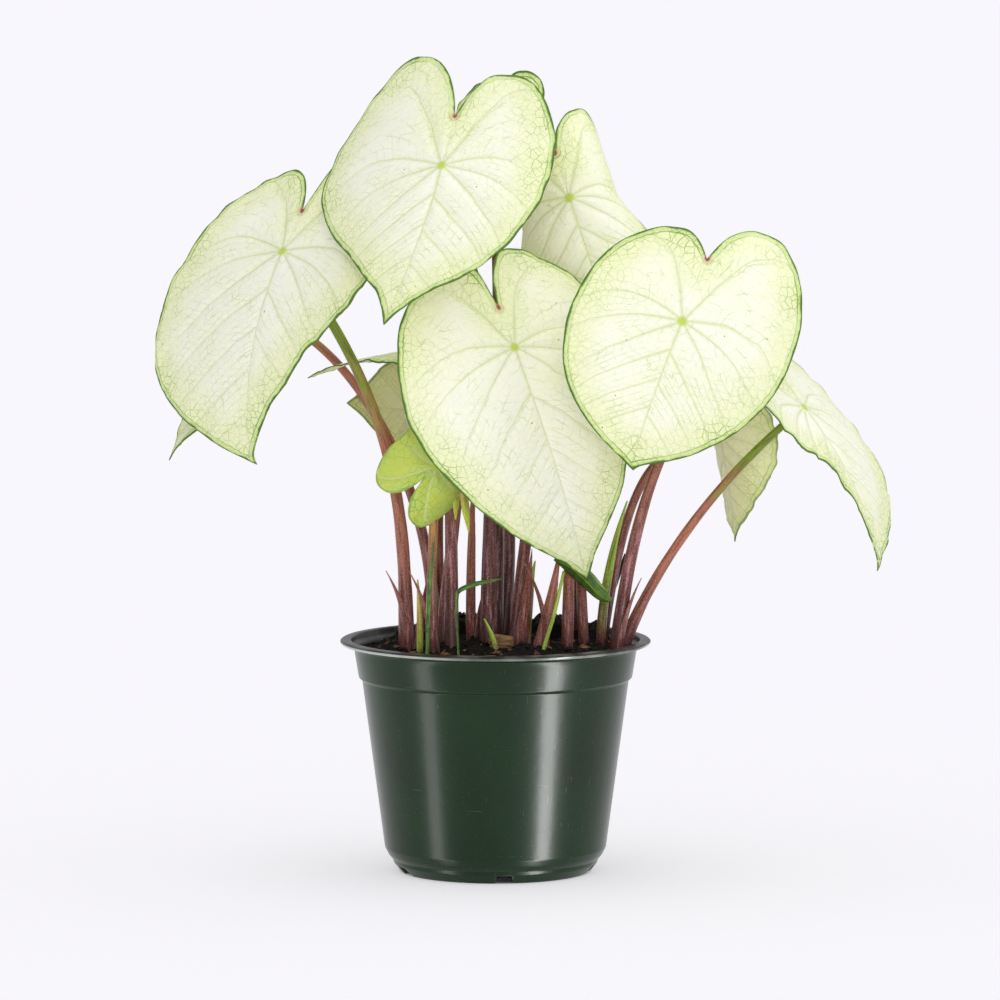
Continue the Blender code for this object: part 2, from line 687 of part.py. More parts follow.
def make_tuber(name, place, radius, collection, surface=None, extra=0.0):
    """A flattened round tuber."""
    mesh = bpy.data.meshes.new(name)
    ball = bmesh.new()
    bmesh.ops.create_uvsphere(ball, u_segments=16, v_segments=9, radius=1)
    ball.to_mesh(mesh)
    ball.free()
    for vertex in mesh.vertices:
        vertex.co.x *= (radius + extra) * MM
        vertex.co.y *= (radius * TUBER_DEPTH_SHARE + extra) * MM
        vertex.co.z *= (TUBER_HALF_HEIGHT + extra) * MM
    obj = add_object(name, mesh, collection, surface)
    obj.location = Vector((*place, TUBER_TOP - TUBER_HALF_HEIGHT)) * MM
    mesh.shade_smooth()
    return obj


def plant_in(soil, name, points, radii, cutters):
    """Cuts the plain hole that a stem stands in."""
    hole = tube(name + "_hole", points, radii, STALK_SIDES, cutters, extra=GAP)
    boolean(soil, as_cutter(hole))


def make_stalks(plant, cutters, soil, hollows):
    blades = {blade.name: blade for blade in BLADES}
    skin = material("stalk", STALK_MAUVE, 0.45)
    for stalk in STALKS:
        points, radii = stalk_path(stalk, blades[stalk.blade])
        name = stalk.blade.replace("blade", "stalk")
        stem = tube(name, points, radii, STALK_SIDES, plant, skin)
        if stalk.sheath:
            sheath = tube(name + "_sheath", sheath_path(stalk, points),
                          (0.6 * stalk.radius, 0.6 * stalk.radius, 0.3), STALK_SIDES, cutters)
            boolean(stem, as_cutter(sheath), "UNION")
        for hollow in hollows:
            boolean(stem, hollow)
        plant_in(soil, name, points[:4], radii[:4], cutters)


def make_shoots(plant, cutters, soil):
    for shoot in SHOOTS:
        points, radii = shoot_path(shoot)
        surface = material("shoot " + shoot.name, shoot.colour, 0.45)
        tube(shoot.name, points, radii, STALK_SIDES, plant, surface)
        hole = [points[0] - Vector((0, 0, GAP)), *points[1:4]]
        plant_in(soil, shoot.name, hole, radii[:4], cutters)


def make_weeds(plant, cutters, soil):
    """Two grass blades standing in slots in the soil and one broad weed leaf on its stem."""
    green = material("weed", WEED_GREEN, 0.4)
    blades = (
        ("grass_left", ((-36, -44, 112), (-35, -43, 150), (-32, -42, 180)), (2.4, 2.8, 0.8), (1, 0, 0)),
        ("grass_front", ((-19, -38, 112), (-20.5, -38, 140), (-20, -38, 152), (-12, -39, 157),
                         (3, -40, 160)), (1.6, 1.6, 2.2, 3.0, 0.8), (0.35, 0.5, -0.9)),
    )
    for name, points, widths, side in blades:
        make_ribbon(name, points, widths, side, plant, green)
        foot = Vector(points[0]) - Vector((0, 0, GAP))
        slot = make_ribbon(name + "_slot", (foot, points[1]), widths[:2], side, cutters, extra=GAP)
        boolean(soil, as_cutter(slot))
    leaf = ((31, -22, 168.5), (38, -19.5, 165.5), (47, -14, 157.5), (56, -14, 148.5), (62, -15, 145))
    make_ribbon("weed_leaf", leaf, (2.0, 8.0, 10.5, 8.0, 0.8), (0.45, -0.5, 0.75), plant, green)
    stem = [Vector(p) for p in ((25, -28, 108), (25, -28, 118), (31, -25, 140), (36.1, -17.4, 161.5))]
    radii = [1.1, 1.1, 1.0, 0.8]
    tube("weed_stem", stem, radii, STALK_SIDES, plant, material("weed stem", SPROUT_GREEN, 0.4))
    plant_in(soil, "weed_stem", [stem[0] - Vector((0, 0, GAP)), stem[1], stem[2]], radii[:3], cutters)


def make_bark(plant, cutters, soil):
    bark = material("bark", BARK_TAN, 0.9)
    pieces = (
        ("bark_chip", (-10, -58, 119.6), (24, 9, 2.4), (4, -2, 6)),
        ("bark_chunk", (3, -14, 123.5), (13, 9, 7), (8, 6, -12)),
    )
    for name, place, size, turns in pieces:
        make_block(name, place, size, turns, plant, bark)
        boolean(soil, as_cutter(make_block(name + "_bed", place, size, turns, cutters, extra=GAP)))


def main():
    clear_scene()
    plant = new_collection("caladium")
    cutters = new_collection("cutters")
    make_pot(plant, cutters)
    soil = make_soil(plant, cutters)
    skin = material("tuber skin", (0.16, 0.09, 0.05), 0.9)
    hollows = []
    for name, place, radius in TUBERS:
        make_tuber(name, place, radius, plant, skin)
        hollow = as_cutter(make_tuber(name + "_hollow", place, radius, cutters, extra=GAP))
        hollows.append(hollow)
        boolean(soil, hollow)
    for blade in BLADES:
        make_blade(blade, plant)
    make_stalks(plant, cutters, soil, hollows)
    make_shoots(plant, cutters, soil)
    make_weeds(plant, cutters, soil)
    make_bark(plant, cutters, soil)


main()
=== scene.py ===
"""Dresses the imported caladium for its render: leaf blades with veins, stalks, shoots, soil and pot.

Every size is in millimetres in the tables and in metres in the finished meshes. -Y is the front.
"""

import json
from dataclasses import dataclass
from math import cos, pi, radians, sin

import bmesh
import bpy
import numpy as np
from bpy.props import FloatProperty, FloatVectorProperty, PointerProperty
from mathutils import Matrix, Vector

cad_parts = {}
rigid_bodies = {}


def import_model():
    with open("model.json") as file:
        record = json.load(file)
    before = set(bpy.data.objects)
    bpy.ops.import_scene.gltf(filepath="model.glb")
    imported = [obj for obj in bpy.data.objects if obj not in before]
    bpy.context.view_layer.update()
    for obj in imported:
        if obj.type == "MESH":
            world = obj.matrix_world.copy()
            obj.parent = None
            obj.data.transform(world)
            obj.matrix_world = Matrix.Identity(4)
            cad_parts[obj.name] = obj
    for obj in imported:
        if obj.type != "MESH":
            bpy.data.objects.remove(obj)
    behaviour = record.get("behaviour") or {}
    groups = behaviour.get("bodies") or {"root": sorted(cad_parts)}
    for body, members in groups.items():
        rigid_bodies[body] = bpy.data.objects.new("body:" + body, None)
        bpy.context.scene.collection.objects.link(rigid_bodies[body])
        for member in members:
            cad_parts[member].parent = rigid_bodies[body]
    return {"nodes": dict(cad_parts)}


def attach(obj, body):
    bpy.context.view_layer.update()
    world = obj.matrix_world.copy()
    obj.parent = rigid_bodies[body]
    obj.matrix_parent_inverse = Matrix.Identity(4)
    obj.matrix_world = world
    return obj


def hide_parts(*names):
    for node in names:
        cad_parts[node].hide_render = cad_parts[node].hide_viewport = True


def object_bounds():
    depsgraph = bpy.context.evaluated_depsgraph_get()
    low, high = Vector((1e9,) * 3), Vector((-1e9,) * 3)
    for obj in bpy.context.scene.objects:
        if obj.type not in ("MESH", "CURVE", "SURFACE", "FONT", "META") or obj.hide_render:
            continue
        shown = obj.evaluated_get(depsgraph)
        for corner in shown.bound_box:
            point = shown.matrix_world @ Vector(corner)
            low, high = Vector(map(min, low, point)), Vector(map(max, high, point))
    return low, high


bl_info = {
    "name": "Potted caladium",
    "version": (1, 0, 0),
    "blender": (4, 5, 0),
    "location": "3D View > Sidebar > Caladium",
    "description": "Builds the leaves, stalks, soil and pot of a white-leaved caladium",
    "category": "Add Mesh",
}

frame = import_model()
CAD_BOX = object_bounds()
MM = 0.001


def linear(code):
    """An sRGB hex colour as linear red, green and blue."""
    parts = np.array([int(code[i:i + 2], 16) for i in (1, 3, 5)]) / 255
    curve = np.where(parts <= 0.04045, parts / 12.92, ((parts + 0.055) / 1.055) ** 2.4)
    return tuple(float(part) for part in curve)


def rgba(colour):
    """The colour as a shader takes it, quite opaque."""
    return (*colour, 1.0)


@dataclass
class Leaf:
    """One leaf blade, as the solid of the same name has it, and how its surface varies.

    face is the compass turn of the upper face from the viewer, up its tilt towards the sky and
    spin the turn of the tip within the blade. Each side is (shoulder, width, lobe): the distance
    from the joint to the edge at 40, 90 and 148 degrees from the tip; sinus is that distance
    between the lobes, and taper fills out the tip. swing bends the tip sideways. droop and
    lobe_droop bend the midrib down in front and behind, cup rolls each half down across, and ease
    flattens that roll towards the tip. wave and ruffle are the height of the edge's long and short
    waves, phase shifts them, curl lowers the end of each lobe, nib is how far the point of the tip
    is hooked to the leaf's right, and kind names the pair of skins.
    """

    name: str
    at: tuple
    face: float
    up: float
    spin: float
    length: float
    left: tuple
    right: tuple
    sinus: float
    taper: float = 0.35
    swing: float = 0.0
    droop: float = 25.0
    lobe_droop: float = 15.0
    cup: tuple = (15.0, 15.0)
    ease: float = 0.0
    wave: float = 1.5
    phase: float = 0.0
    curl: tuple = (0.0, 0.0)
    nib: float = 0.0
    ruffle: float = 0.5
    kind: str = "white"


@dataclass
class Stalk:
    """One leaf stalk: its foot, its lean there, and how far each end runs straight.

    arrive is its direction at the blade, or the blade's normal where none is stated. green is the
    share of the way up where the mauve turns to olive, and kind names its skin.
    """

    leaf: str
    foot: tuple
    lean: tuple
    low_reach: float
    high_reach: float
    radius: float = 3.6
    top_radius: float = 2.2
    arrive: tuple = ()
    green: float = 0.75
    kind: str = "stalk"


@dataclass
class Shoot:
    """A rolled young leaf or spike: a tapering stem with the edge of its roll winding round it.

    bow is how far its middle stands out to the right and back, and blunt the radius of its tip.
    """

    name: str
    foot: tuple
    tip: tuple
    radius: float
    bow: tuple = (0.0, 0.0)
    kind: str = "mauve"
    blunt: float = 0.4


OUTLINE_ANGLES = np.radians((0, 4, 12, 40, 65, 90, 120, 148, 162, 171, 180))
LEAF_SPOKES = 240
LEAF_RINGS = 34
RIM_PLACES = 720
RING_EASE = 1.35  # over 1 draws the rings closer together towards the edge
EDGE_CLEAR = 0.45  # how far the blades' points stay within the solids' box
# Where the main veins leave the joint behind the front pair, in degrees from the tip.
VEIN_TURNS = (50, 80, 108, 156, 186)
VEIN_SWEEP = 0.28  # how far a vein bends towards the tip on its way out
VEIN_SPACING = 0.21  # between the veins that leave the midrib, as a share of the blade's length
HOOK_FROM = 0.94  # the share of the blade's length where a tip's hook starts
WAVES, RUFFLES = 5, (17, 29)  # round the whole edge
CURL_FROM, CURL_OVER, CURL_END = 125, 35, 14  # in degrees from the tip, and back from the sinus
FURROW_WIDTH, FURROW_SPREAD = 1.4, 2.0  # a furrow's half width at the edge, and its growth inwards
PATTERN_SHIFT = 37.0  # how far one leaf's patterns are moved from the last one's, in millimetres
STALK_SIDES = 20
STALK_STEPS = 90
STALK_GREEN_FROM = 0.75  # the share of the way up where the stem finish turns to its top colour
SHEATH_FLANGE = 0.24  # how far the sheath's edge stands out at the foot, over the stalk's radius
SHOOT_STEPS = 48
RIBBON_STEPS = 60
WEED_STEM_STEPS = 40
SOIL_TOP = 118.0
SOIL_MOUND = 3.0
SOIL_LUMP = 1.1
SOIL_RADIUS = 72.4
PEAT_PLACES = 250
CRUMB_SPREAD = 69.0
SOIL_SKIRT = ((70.8, 106.0), (70.6, 104.6), (68.9, 101.8), (57.4, 16.0), (49.4, 9.0), (42.0, 5.0))
TUBER_TOP = 96.0
TUBER_HALF_HEIGHT = 12.0
TUBER_DEPTH_SHARE = 0.85
PLANTED = 8.0  # how far a shoot goes on under the soil
POT_TURNS = 240
FOOT_INNER, FOOT_OUTER = 43.0, 52.5
DRAIN_COUNT = 5
DRAIN_TURN = 5.5
DRAIN_WIDTH = 9.5
DRAIN_TOP_WIDTH = 4.5
DRAIN_HEIGHT = 5.0
LIP_HIGHLIGHT_FROM, LIP_HIGHLIGHT_FULL = 121.2, 121.6  # heights between which the lip's painted highlight starts
# Radius and height of the pot's corners, from the floor inside, over the rim and down to the base.
POT_PROFILE = (
    (0, 4.2), (43, 4.2), (51.9, 8), (57.4, 14), (69.4, 102), (71.2, 104), (73.4, 118),
    (74, 119.6), (76.1, 120.6), (76.6, 123.6), (77.4, 124), (81.5, 123.7), (82.5, 122.8),
    (82.2, 121.8), (81.5, 121.4), (78.2, 121.4), (75.4, 119.8), (74.8, 117.4), (72.6, 103.8),
    (71.8, 103), (70.8, 102.4), (58.8, 13), (57, 9.4), (55.6, 7.6), (54.8, 7), (54.2, 4.8),
    (51.4, 1.4), (50, 0), (43, 0), (41.8, 1.8), (15.2, 1.8), (14, 0), (0, 0),
)
# The camera's place and the place it looks at in metres, and its focal length in millimetres.
EYE = (0.0024, -4.0, 0.6)
AIM = (0.0024, 0.0, 0.1977)
LENS = 273.3

LEAVES = (
    Leaf("blade_high_front", (-28, -72, 379), -26, 38, 4, 90, (64, 79, 81), (70, 59, 66), 32,
          taper=0.30, swing=-12, droop=20, lobe_droop=5, cup=(31, 16), wave=2.0, phase=160,
          curl=(-3, -3)),
    Leaf("blade_left", (-112, -20, 331), -40, 33, -4, 115, (107, 67, 55), (63, 63, 74), 25,
          taper=0.40, swing=7, droop=33, lobe_droop=14, cup=(9, 6), wave=1.2, phase=205,
          curl=(-2, -8), nib=4),
    Leaf("blade_low_front", (10, -40, 282), 26, 26, 11, 135, (89, 68, 57), (81, 65, 63), 23,
          taper=0.50, swing=9, droop=50, lobe_droop=19, cup=(15, 16), wave=1.8, phase=240,
          curl=(-11, -5)),
    Leaf("blade_right_front", (97, -70, 298), 9, 11, -24, 82, (70, 56, 51), (66, 64, 72), 36,
          taper=0.50, swing=4, droop=25, lobe_droop=16, cup=(18, 22), wave=0.8, phase=170,
          curl=(-3, 2), nib=2),
    Leaf("blade_centre", (39, 16, 357), -8, 20, 20, 84, (56, 54, 50), (60, 42, 56), 26,
          droop=40, lobe_droop=0, cup=(105, 100), ease=0.9, wave=1.0, curl=(0, 5)),
    Leaf("blade_far_right", (163, -10, 248), 67, 43, 3, 96, (40, 49, 58), (83, 67, 59), 28,
          taper=0.30, swing=-4, droop=31, lobe_droop=20, cup=(1, 13), phase=205, nib=-4),
    Leaf("blade_right_back", (120, 20, 230), 120, 12, -8, 57, (38, 36, 28), (38, 34, 30), 15,
          taper=0.45, droop=15, lobe_droop=10, cup=(-60, -60), wave=1.0),
    Leaf("blade_high_back", (-2, 2, 393), -40, 24, 4, 58, (38, 33, 34), (32, 22, 38), 15,
          droop=25, lobe_droop=5, cup=(15, 20), wave=1.0, curl=(0, -3)),
    Leaf("blade_left_back", (-128, 32, 296), -68, 34, 1, 92, (60, 50, 48), (60, 50, 48), 23,
          taper=0.45, swing=-3, droop=5, lobe_droop=20, cup=(29, 18)),
    Leaf("blade_young", (-31, -44, 220), 0, 8, 135, 46, (34, 28, 35), (31, 25, 33), 9,
          droop=25, lobe_droop=10, cup=(75, 30), wave=1.0, kind="young"),
    Leaf("blade_flat", (-30, 13, 277), -94, 88, -6, 74, (38, 30, 28), (36, 28, 28), 16,
          taper=0.33, swing=-2, droop=22, lobe_droop=20, cup=(34, 15)),
    Leaf("blade_behind_low", (-21, 72, 242), 200, 5, 83, 66, (42, 30, 30), (45, 38, 38), 16,
          taper=0.45, swing=11, droop=16, lobe_droop=12, cup=(15, 10)),
    Leaf("blade_behind_right", (52, 66, 286), 165, 36, -5, 76, (52, 46, 45), (50, 45, 44), 22,
          droop=35, lobe_droop=15, cup=(20, 15), phase=90),
    Leaf("blade_behind_high", (-27, 70, 366), 195, 40, 6, 74, (50, 44, 42), (52, 46, 43), 21,
          droop=35, lobe_droop=15, cup=(15, 20), phase=40),
)

STALKS = (
    Stalk("blade_high_front", (-23, -12), (0.0, 0.06), 120, 50, 3.4, 2.2, (0, -0.95, 0.3)),
    Stalk("blade_left", (-47, -8), (-0.03, 0.0), 55, 110, 4.0, 2.3, (-0.61, 0, 0.79),
          green=0.55),
    Stalk("blade_low_front", (-4, 4), (0.02, 0.04), 60, 35, 4.4, 2.4, kind="dark"),
    Stalk("blade_right_front", (64, -10), (0.11, 0.0), 130, 100, 3.4, 1.9, (-0.17, -0.76, 0.63)),
    Stalk("blade_centre", (10, 16), (0.08, 0.10), 80, 40, 3.4, 2.1),
    Stalk("blade_far_right", (67, 2), (0.38, 0.0), 34, 71, 3.2, 1.9, (0.77, 0, 0.63), green=0.6),
    Stalk("blade_right_back", (57, 28), (0.14, 0.0), 110, 30, 2.7, 1.7, (0.9, 0.2, 0.2)),
    Stalk("blade_high_back", (0, 32), (0.04, 0.0), 110, 50, 3.4, 2.0, (0, -0.45, 0.9), kind="dark"),
    Stalk("blade_left_back", (-33, 26), (0.04, 0.25), 75, 60, 3.3, 2.0, (-0.93, -0.25, 0.27)),
    Stalk("blade_young", (-33, -30), (-0.03, -0.04), 60, 20, 3.0, 1.9, (0, -0.5, 0.85), kind="tan"),
    Stalk("blade_flat", (-30, 42), (-0.02, -0.1), 60, 40, 2.8, 1.8),
    Stalk("blade_behind_low", (-28, 8), (0.05, 0.0), 50, 25, 3.8, 2.1),
    Stalk("blade_behind_right", (44, 34), (0.0, 0.05), 60, 40, 2.8, 1.8, kind="dark"),
    Stalk("blade_behind_high", (4, 52), (0.12, 0.12), 120, 60, 3.3, 2.0, kind="dark"),
)

SHOOTS = (
    Shoot("shoot_front", (22, -12), (34, -9, 172), 3.4, (1, 0)),
    Shoot("shoot_middle", (38, -4), (40, 0, 212), 3.4),
    Shoot("shoot_back", (47, 12), (43, 10, 205), 3.0),
    Shoot("shoot_left", (-13, 20), (-11, 12, 214), 2.8, (-1, 0)),
    Shoot("spike_centre", (16, -4), (21, -6, 166), 2.8, (-1, 0), "green"),
    Shoot("spike_right", (56, 18), (70, 12, 196), 2.8, (-3, 0), "green"),
    Shoot("spike_yellow", (-40, -24), (-41, -24, 158), 1.9, (0.5, 0), "yellow"),
    Shoot("sprout_small", (1, -31), (-6, -30, 138), 1.5, (1, 0), "green"),
    Shoot("stick", (52, 44), (70, 34, 165), 1.6, (0, 0), "stick", 1.3),
)

# Buried tubers: name, middle and radius.
TUBERS = (
    ("tuber_left", (-32, 2), 19.0),
    ("tuber_centre", (5, 16), 15.0),
    ("tuber_right", (49, 8), 17.0),
    ("tuber_back", (-10, 47), 13.0),
)

# Clods on the soil: middle, height of the base and radius.
CLODS = (
    (-15, 48, 124, 11.0),
    (30, 44, 124, 11.0),
    (51, 34, 121, 10.0),
    (18, 58, 119, 9.5),
    (-46, 36, 119, 9.0),
    (14, -38, 119, 7.5),
    (44, -36, 117, 8.5),
    (-56, -20, 117, 7.0),
)

# Grass and weed blades: places along the middle, width at each, a way across, and the fold's
# depth over the half width.
RIBBONS = (
    ("grass_left", ((-36, -44, 112), (-35, -43, 150), (-32, -42, 180)), (1.7, 2.2, 0.4),
     (1, 0, 0), 0.5),
    ("grass_front", ((-19, -38, 112), (-20.5, -38, 140), (-20, -38, 152), (-12, -39, 157),
                     (3, -40, 160)), (1.6, 1.6, 2.2, 3.0, 0.5), (0.35, 0.5, -0.9), 0.4),
    ("weed_leaf", ((31, -22, 168.5), (38, -19.5, 165.5), (47, -14, 157.5), (56, -14, 148.5),
                   (62, -15, 145)), (1.2, 8.0, 10.5, 8.0, 0.5), (0.45, -0.5, 0.75), 0.35),
)
# Torn strips of the young leaf that hang behind its stalk, in the same terms.
STRIPS = (
    ("strip_left", ((-20, -34, 212), (-20.5, -35, 202), (-21, -36, 191)), (3.6, 4.0, 0.5),
     (1, 0.3, 0), 0.6),
    ("strip_right", ((-17, -40, 208), (-15.5, -42, 198), (-14, -43, 185)), (4.0, 4.2, 0.5),
     (1, 0.3, 0), 0.6),
)
# Places along the weed's stem.
WEED_STEM = ((25, -28, 108), (25, -28, 118), (31, -25, 140), (36.1, -17.4, 161.5))
# Bark: middle, length, width and thickness, and turns in degrees about each axis.
BARK = (
    ("bark_chip", (-10, -58, 119.6), (24, 9, 2.4), (4, -2, 6)),
    ("bark_chunk", (3, -14, 123.5), (13, 9, 7), (8, 6, -12)),
)
# Torn tongues of old sheath beside the stalks: base, way they lean, length and width.
TONGUES = (
    ("tongue_left", (-49, -11, 116), (-0.7, -0.5), 46, 4.4),
    ("tongue_low", (-41, -11, 118), (0.5, -0.8), 44, 3.2),
    ("tongue_right", (67, -13, 114), (0.9, -0.3), 44, 4.2),
    ("tongue_front", (13, -10, 114), (0.4, -0.9), 60, 4.4),
    ("tongue_young", (-36, -30, 115), (-0.8, -0.5), 50, 3.6),
    ("tongue_back", (-9, 19, 118), (0.8, -0.4), 52, 3.4),
    ("tongue_shoot", (25, -14, 115), (-0.9, -0.5), 54, 3.4),
)


def smooth_through(where, knots, values):
    """Cubic pieces through the values with no overshoot: slopes are weighted harmonic means."""
    step = np.diff(knots)
    slope = np.diff(values) / step
    tangent = np.zeros_like(values)
    before = 2 * step[1:] + step[:-1]
    after = step[1:] + 2 * step[:-1]
    rising = slope[1:] * slope[:-1] > 0
    safe = np.where(rising, slope[1:] * slope[:-1], 1.0)
    mean = (before + after) * safe / (before * slope[1:] + after * slope[:-1] + (~rising))
    tangent[1:-1] = np.where(rising, mean, 0)
    tangent[0] = slope[0]
    tangent[-1] = slope[-1]
    i = np.clip(np.searchsorted(knots, where, side="right") - 1, 0, len(step) - 1)
    t = (where - knots[i]) / step[i]
    return (
        (1 + 2 * t) * (1 - t) ** 2 * values[i]
        + t * (1 - t) ** 2 * step[i] * tangent[i]
        + t * t * (3 - 2 * t) * values[i + 1]
        + t * t * (t - 1) * step[i] * tangent[i + 1]
    )


def smooth_rows(rows, steps):
    """Rows at even steps along a smooth curve through the given rows, and the share of the way."""
    knots = np.arange(len(rows), dtype=float)
    t = np.linspace(0, knots[-1], steps)
    columns = np.array(rows, float).T
    return np.stack([smooth_through(t, knots, column) for column in columns], -1), t / t[-1]


def value_noise(x, y, z=0.0, seed=0):
    """Smooth noise from -1 to 1: values hashed at whole numbers, blended by smooth steps."""
    axes = np.broadcast_arrays(np.asarray(x, float), y, z)
    low = [np.floor(axis) for axis in axes]
    part = [axis - base for axis, base in zip(axes, low)]
    ease = [p * p * (3 - 2 * p) for p in part]
    total = 0
    for corner in range(8):
        turn, share = seed * 19.3, 1
        for axis, scale in enumerate((127.1, 311.7, 74.7)):
            up = corner >> axis & 1
            turn = turn + (low[axis] + up) * scale
            share = share * (ease[axis] if up else 1 - ease[axis])
        hashed = np.sin(turn) * 43758.5453
        total = total + share * (2 * (hashed - np.floor(hashed)) - 1)
    return total


def unit(v):
    """The vector, or each row of an array, at length one."""
    v = np.asarray(v, float)
    return v / np.linalg.norm(v, axis=-1, keepdims=True)


def new_mesh(name, points, quads, uvs=()):
    """A mesh from points in millimetres and faces, with (name, values per point) as its UV maps."""
    mesh = bpy.data.meshes.new(name)
    mesh.from_pydata((np.asarray(points) * MM).tolist(), [], [tuple(q) for q in quads])
    loops = np.empty(len(mesh.loops), np.int32)
    mesh.loops.foreach_get("vertex_index", loops)
    for label, values in uvs:
        layer = mesh.uv_layers.new(name=label)
        layer.data.foreach_set("uv", np.asarray(values, float)[loops].ravel())
    mesh.shade_smooth()
    return mesh


def place(name, mesh, skins, slot, *nodes):
    """The mesh as a piece of the plant, with its skins, riding on the plant in its nodes' place."""
    obj = bpy.data.objects.new(name, mesh)
    bpy.context.scene.collection.objects.link(obj)
    for skin in skins:
        mesh.materials.append(skin)
    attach(obj, "root")
    if nodes:
        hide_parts(*nodes)
    return obj


def grid_quads(rows, columns, closed=False):
    """Faces of a grid of rows by columns, numbered row by row, joined round if closed."""
    last = columns if closed else columns - 1
    row, column = np.meshgrid(np.arange(rows - 1), np.arange(last), indexing="ij")
    follow = (column + 1) % columns
    a, b = row * columns + column, row * columns + follow
    return np.stack((a, b, b + columns, a + columns), -1).reshape(-1, 4).tolist()


def half_outline(angle, leaf, side):
    """Distance from the joint to the edge at each angle from the tip, on one side.

    At each of OUTLINE_ANGLES the distance is one that the leaf states, or a mix of its neighbours.
    """
    shoulder, width, lobe = side
    reach = leaf.length - shoulder
    values = np.array((
        leaf.length,
        shoulder + (0.5 + 0.5 * leaf.taper) * reach,
        shoulder + leaf.taper * reach,
        shoulder,
        0.49 * (shoulder + width),
        width,
        0.5 * (width + lobe),
        lobe,
        0.88 * lobe + 0.08 * leaf.sinus,
        0.62 * lobe + 0.30 * leaf.sinus,
        leaf.sinus,
    ))
    return smooth_through(angle, OUTLINE_ANGLES, values)


def edge_of(angle, leaf):
    """Distance from the joint to the edge all round: the right side's outline, then the left's."""
    right, left = [half_outline(np.abs(angle), leaf, side) for side in (leaf.right, leaf.left)]
    return np.where(angle >= 0, right, left)


def leaf_axes(leaf):
    """The leaf's own across, along and normal directions at the joint."""
    face, up, spin = radians(leaf.face), radians(leaf.up), radians(leaf.spin)
    normal = np.array((sin(face) * cos(up), -cos(face) * cos(up), sin(up)))
    down = np.array((sin(face) * sin(up), -cos(face) * sin(up), -cos(up)))
    along = cos(spin) * down + sin(spin) * np.cross(normal, down)
    return np.cross(normal, along), along, normal


def midrib_curve(leaf):
    """Length, bend and position of the midrib, from behind the lobes to past the tip."""
    lobe = max(leaf.left[2], leaf.right[2])
    run = np.linspace(-1.2 * lobe, 1.15 * leaf.length, 400)
    bend = np.where(run >= 0, radians(leaf.droop) * run / leaf.length,
                    radians(leaf.lobe_droop) * run / lobe)
    step = run[1] - run[0]
    forward = np.concatenate(([0], np.cumsum(0.5 * (np.cos(bend[1:]) + np.cos(bend[:-1])) * step)))
    fall = -np.concatenate(([0], np.cumsum(0.5 * (np.sin(bend[1:]) + np.sin(bend[:-1])) * step)))
    return run, bend, forward - np.interp(0, run, forward), fall - np.interp(0, run, fall)


def even_angles(leaf):
    """Angles from the tip, from -180 to 180 degrees, at even steps of length along the outline."""
    half_count = 2000
    fine = np.linspace(-pi, pi, 2 * half_count + 1)
    edge = edge_of(fine, leaf)
    x, y = edge * np.sin(fine), edge * np.cos(fine)
    length = np.concatenate(([0], np.cumsum(np.hypot(np.diff(x), np.diff(y)))))
    half = length[half_count]
    share = np.linspace(0, 1, LEAF_SPOKES // 2 + 1)
    left = np.interp(share * half, length, fine)
    right = np.interp(half + share * (length[-1] - half), length, fine)
    return np.concatenate((left, right[1:]))


def vein_place(leaf, angle, share):
    """Place between the main veins, a whole number on each, and the millimetres in one step.

    A vein bends towards the tip as it nears the edge, so its angle is divided by one less the sweep
    times the square of the share of the way out. Behind the front pair the veins fan out from the
    joint, and the place is read from their angles. In front of it they leave the midrib obliquely,
    and the place is the distance along the midrib where such a line starts, over their spacing.
    """
    turn = np.abs(angle)
    turn = turn / (1 - VEIN_SWEEP * share**2 * np.sin(turn) ** 2)
    reach = edge_of(angle, leaf) * share
    turns = np.radians(VEIN_TURNS)
    fanned = 1 + np.interp(turn, turns, np.arange(len(turns)))
    fan_width = reach * np.interp(turn, 0.5 * (turns[1:] + turns[:-1]), np.diff(turns))
    spacing = leaf.length * VEIN_SPACING * np.where(angle >= 0, 1.0, 0.9)
    start = reach * np.sin(np.maximum(turns[0] - turn, 0)) / sin(turns[0])
    in_front = turn < turns[0]
    step = np.where(in_front, 1 - start / spacing, fanned)
    return step, np.where(in_front, spacing * sin(turns[0]), fan_width)


def flat_blade(leaf, angle, share):
    """Flat places across and along the blade, its drawn-out tip swung sideways with the midrib."""
    edge = edge_of(angle, leaf)
    x = edge * share * np.sin(angle)
    y = edge * share * np.cos(angle)
    forward = np.clip(y / leaf.length, 0, 1)
    hook = leaf.nib * np.clip((forward - HOOK_FROM) / (1 - HOOK_FROM), 0, 1) ** 2
    return x + radians(leaf.swing) * leaf.length * forward**2 + hook, y, forward


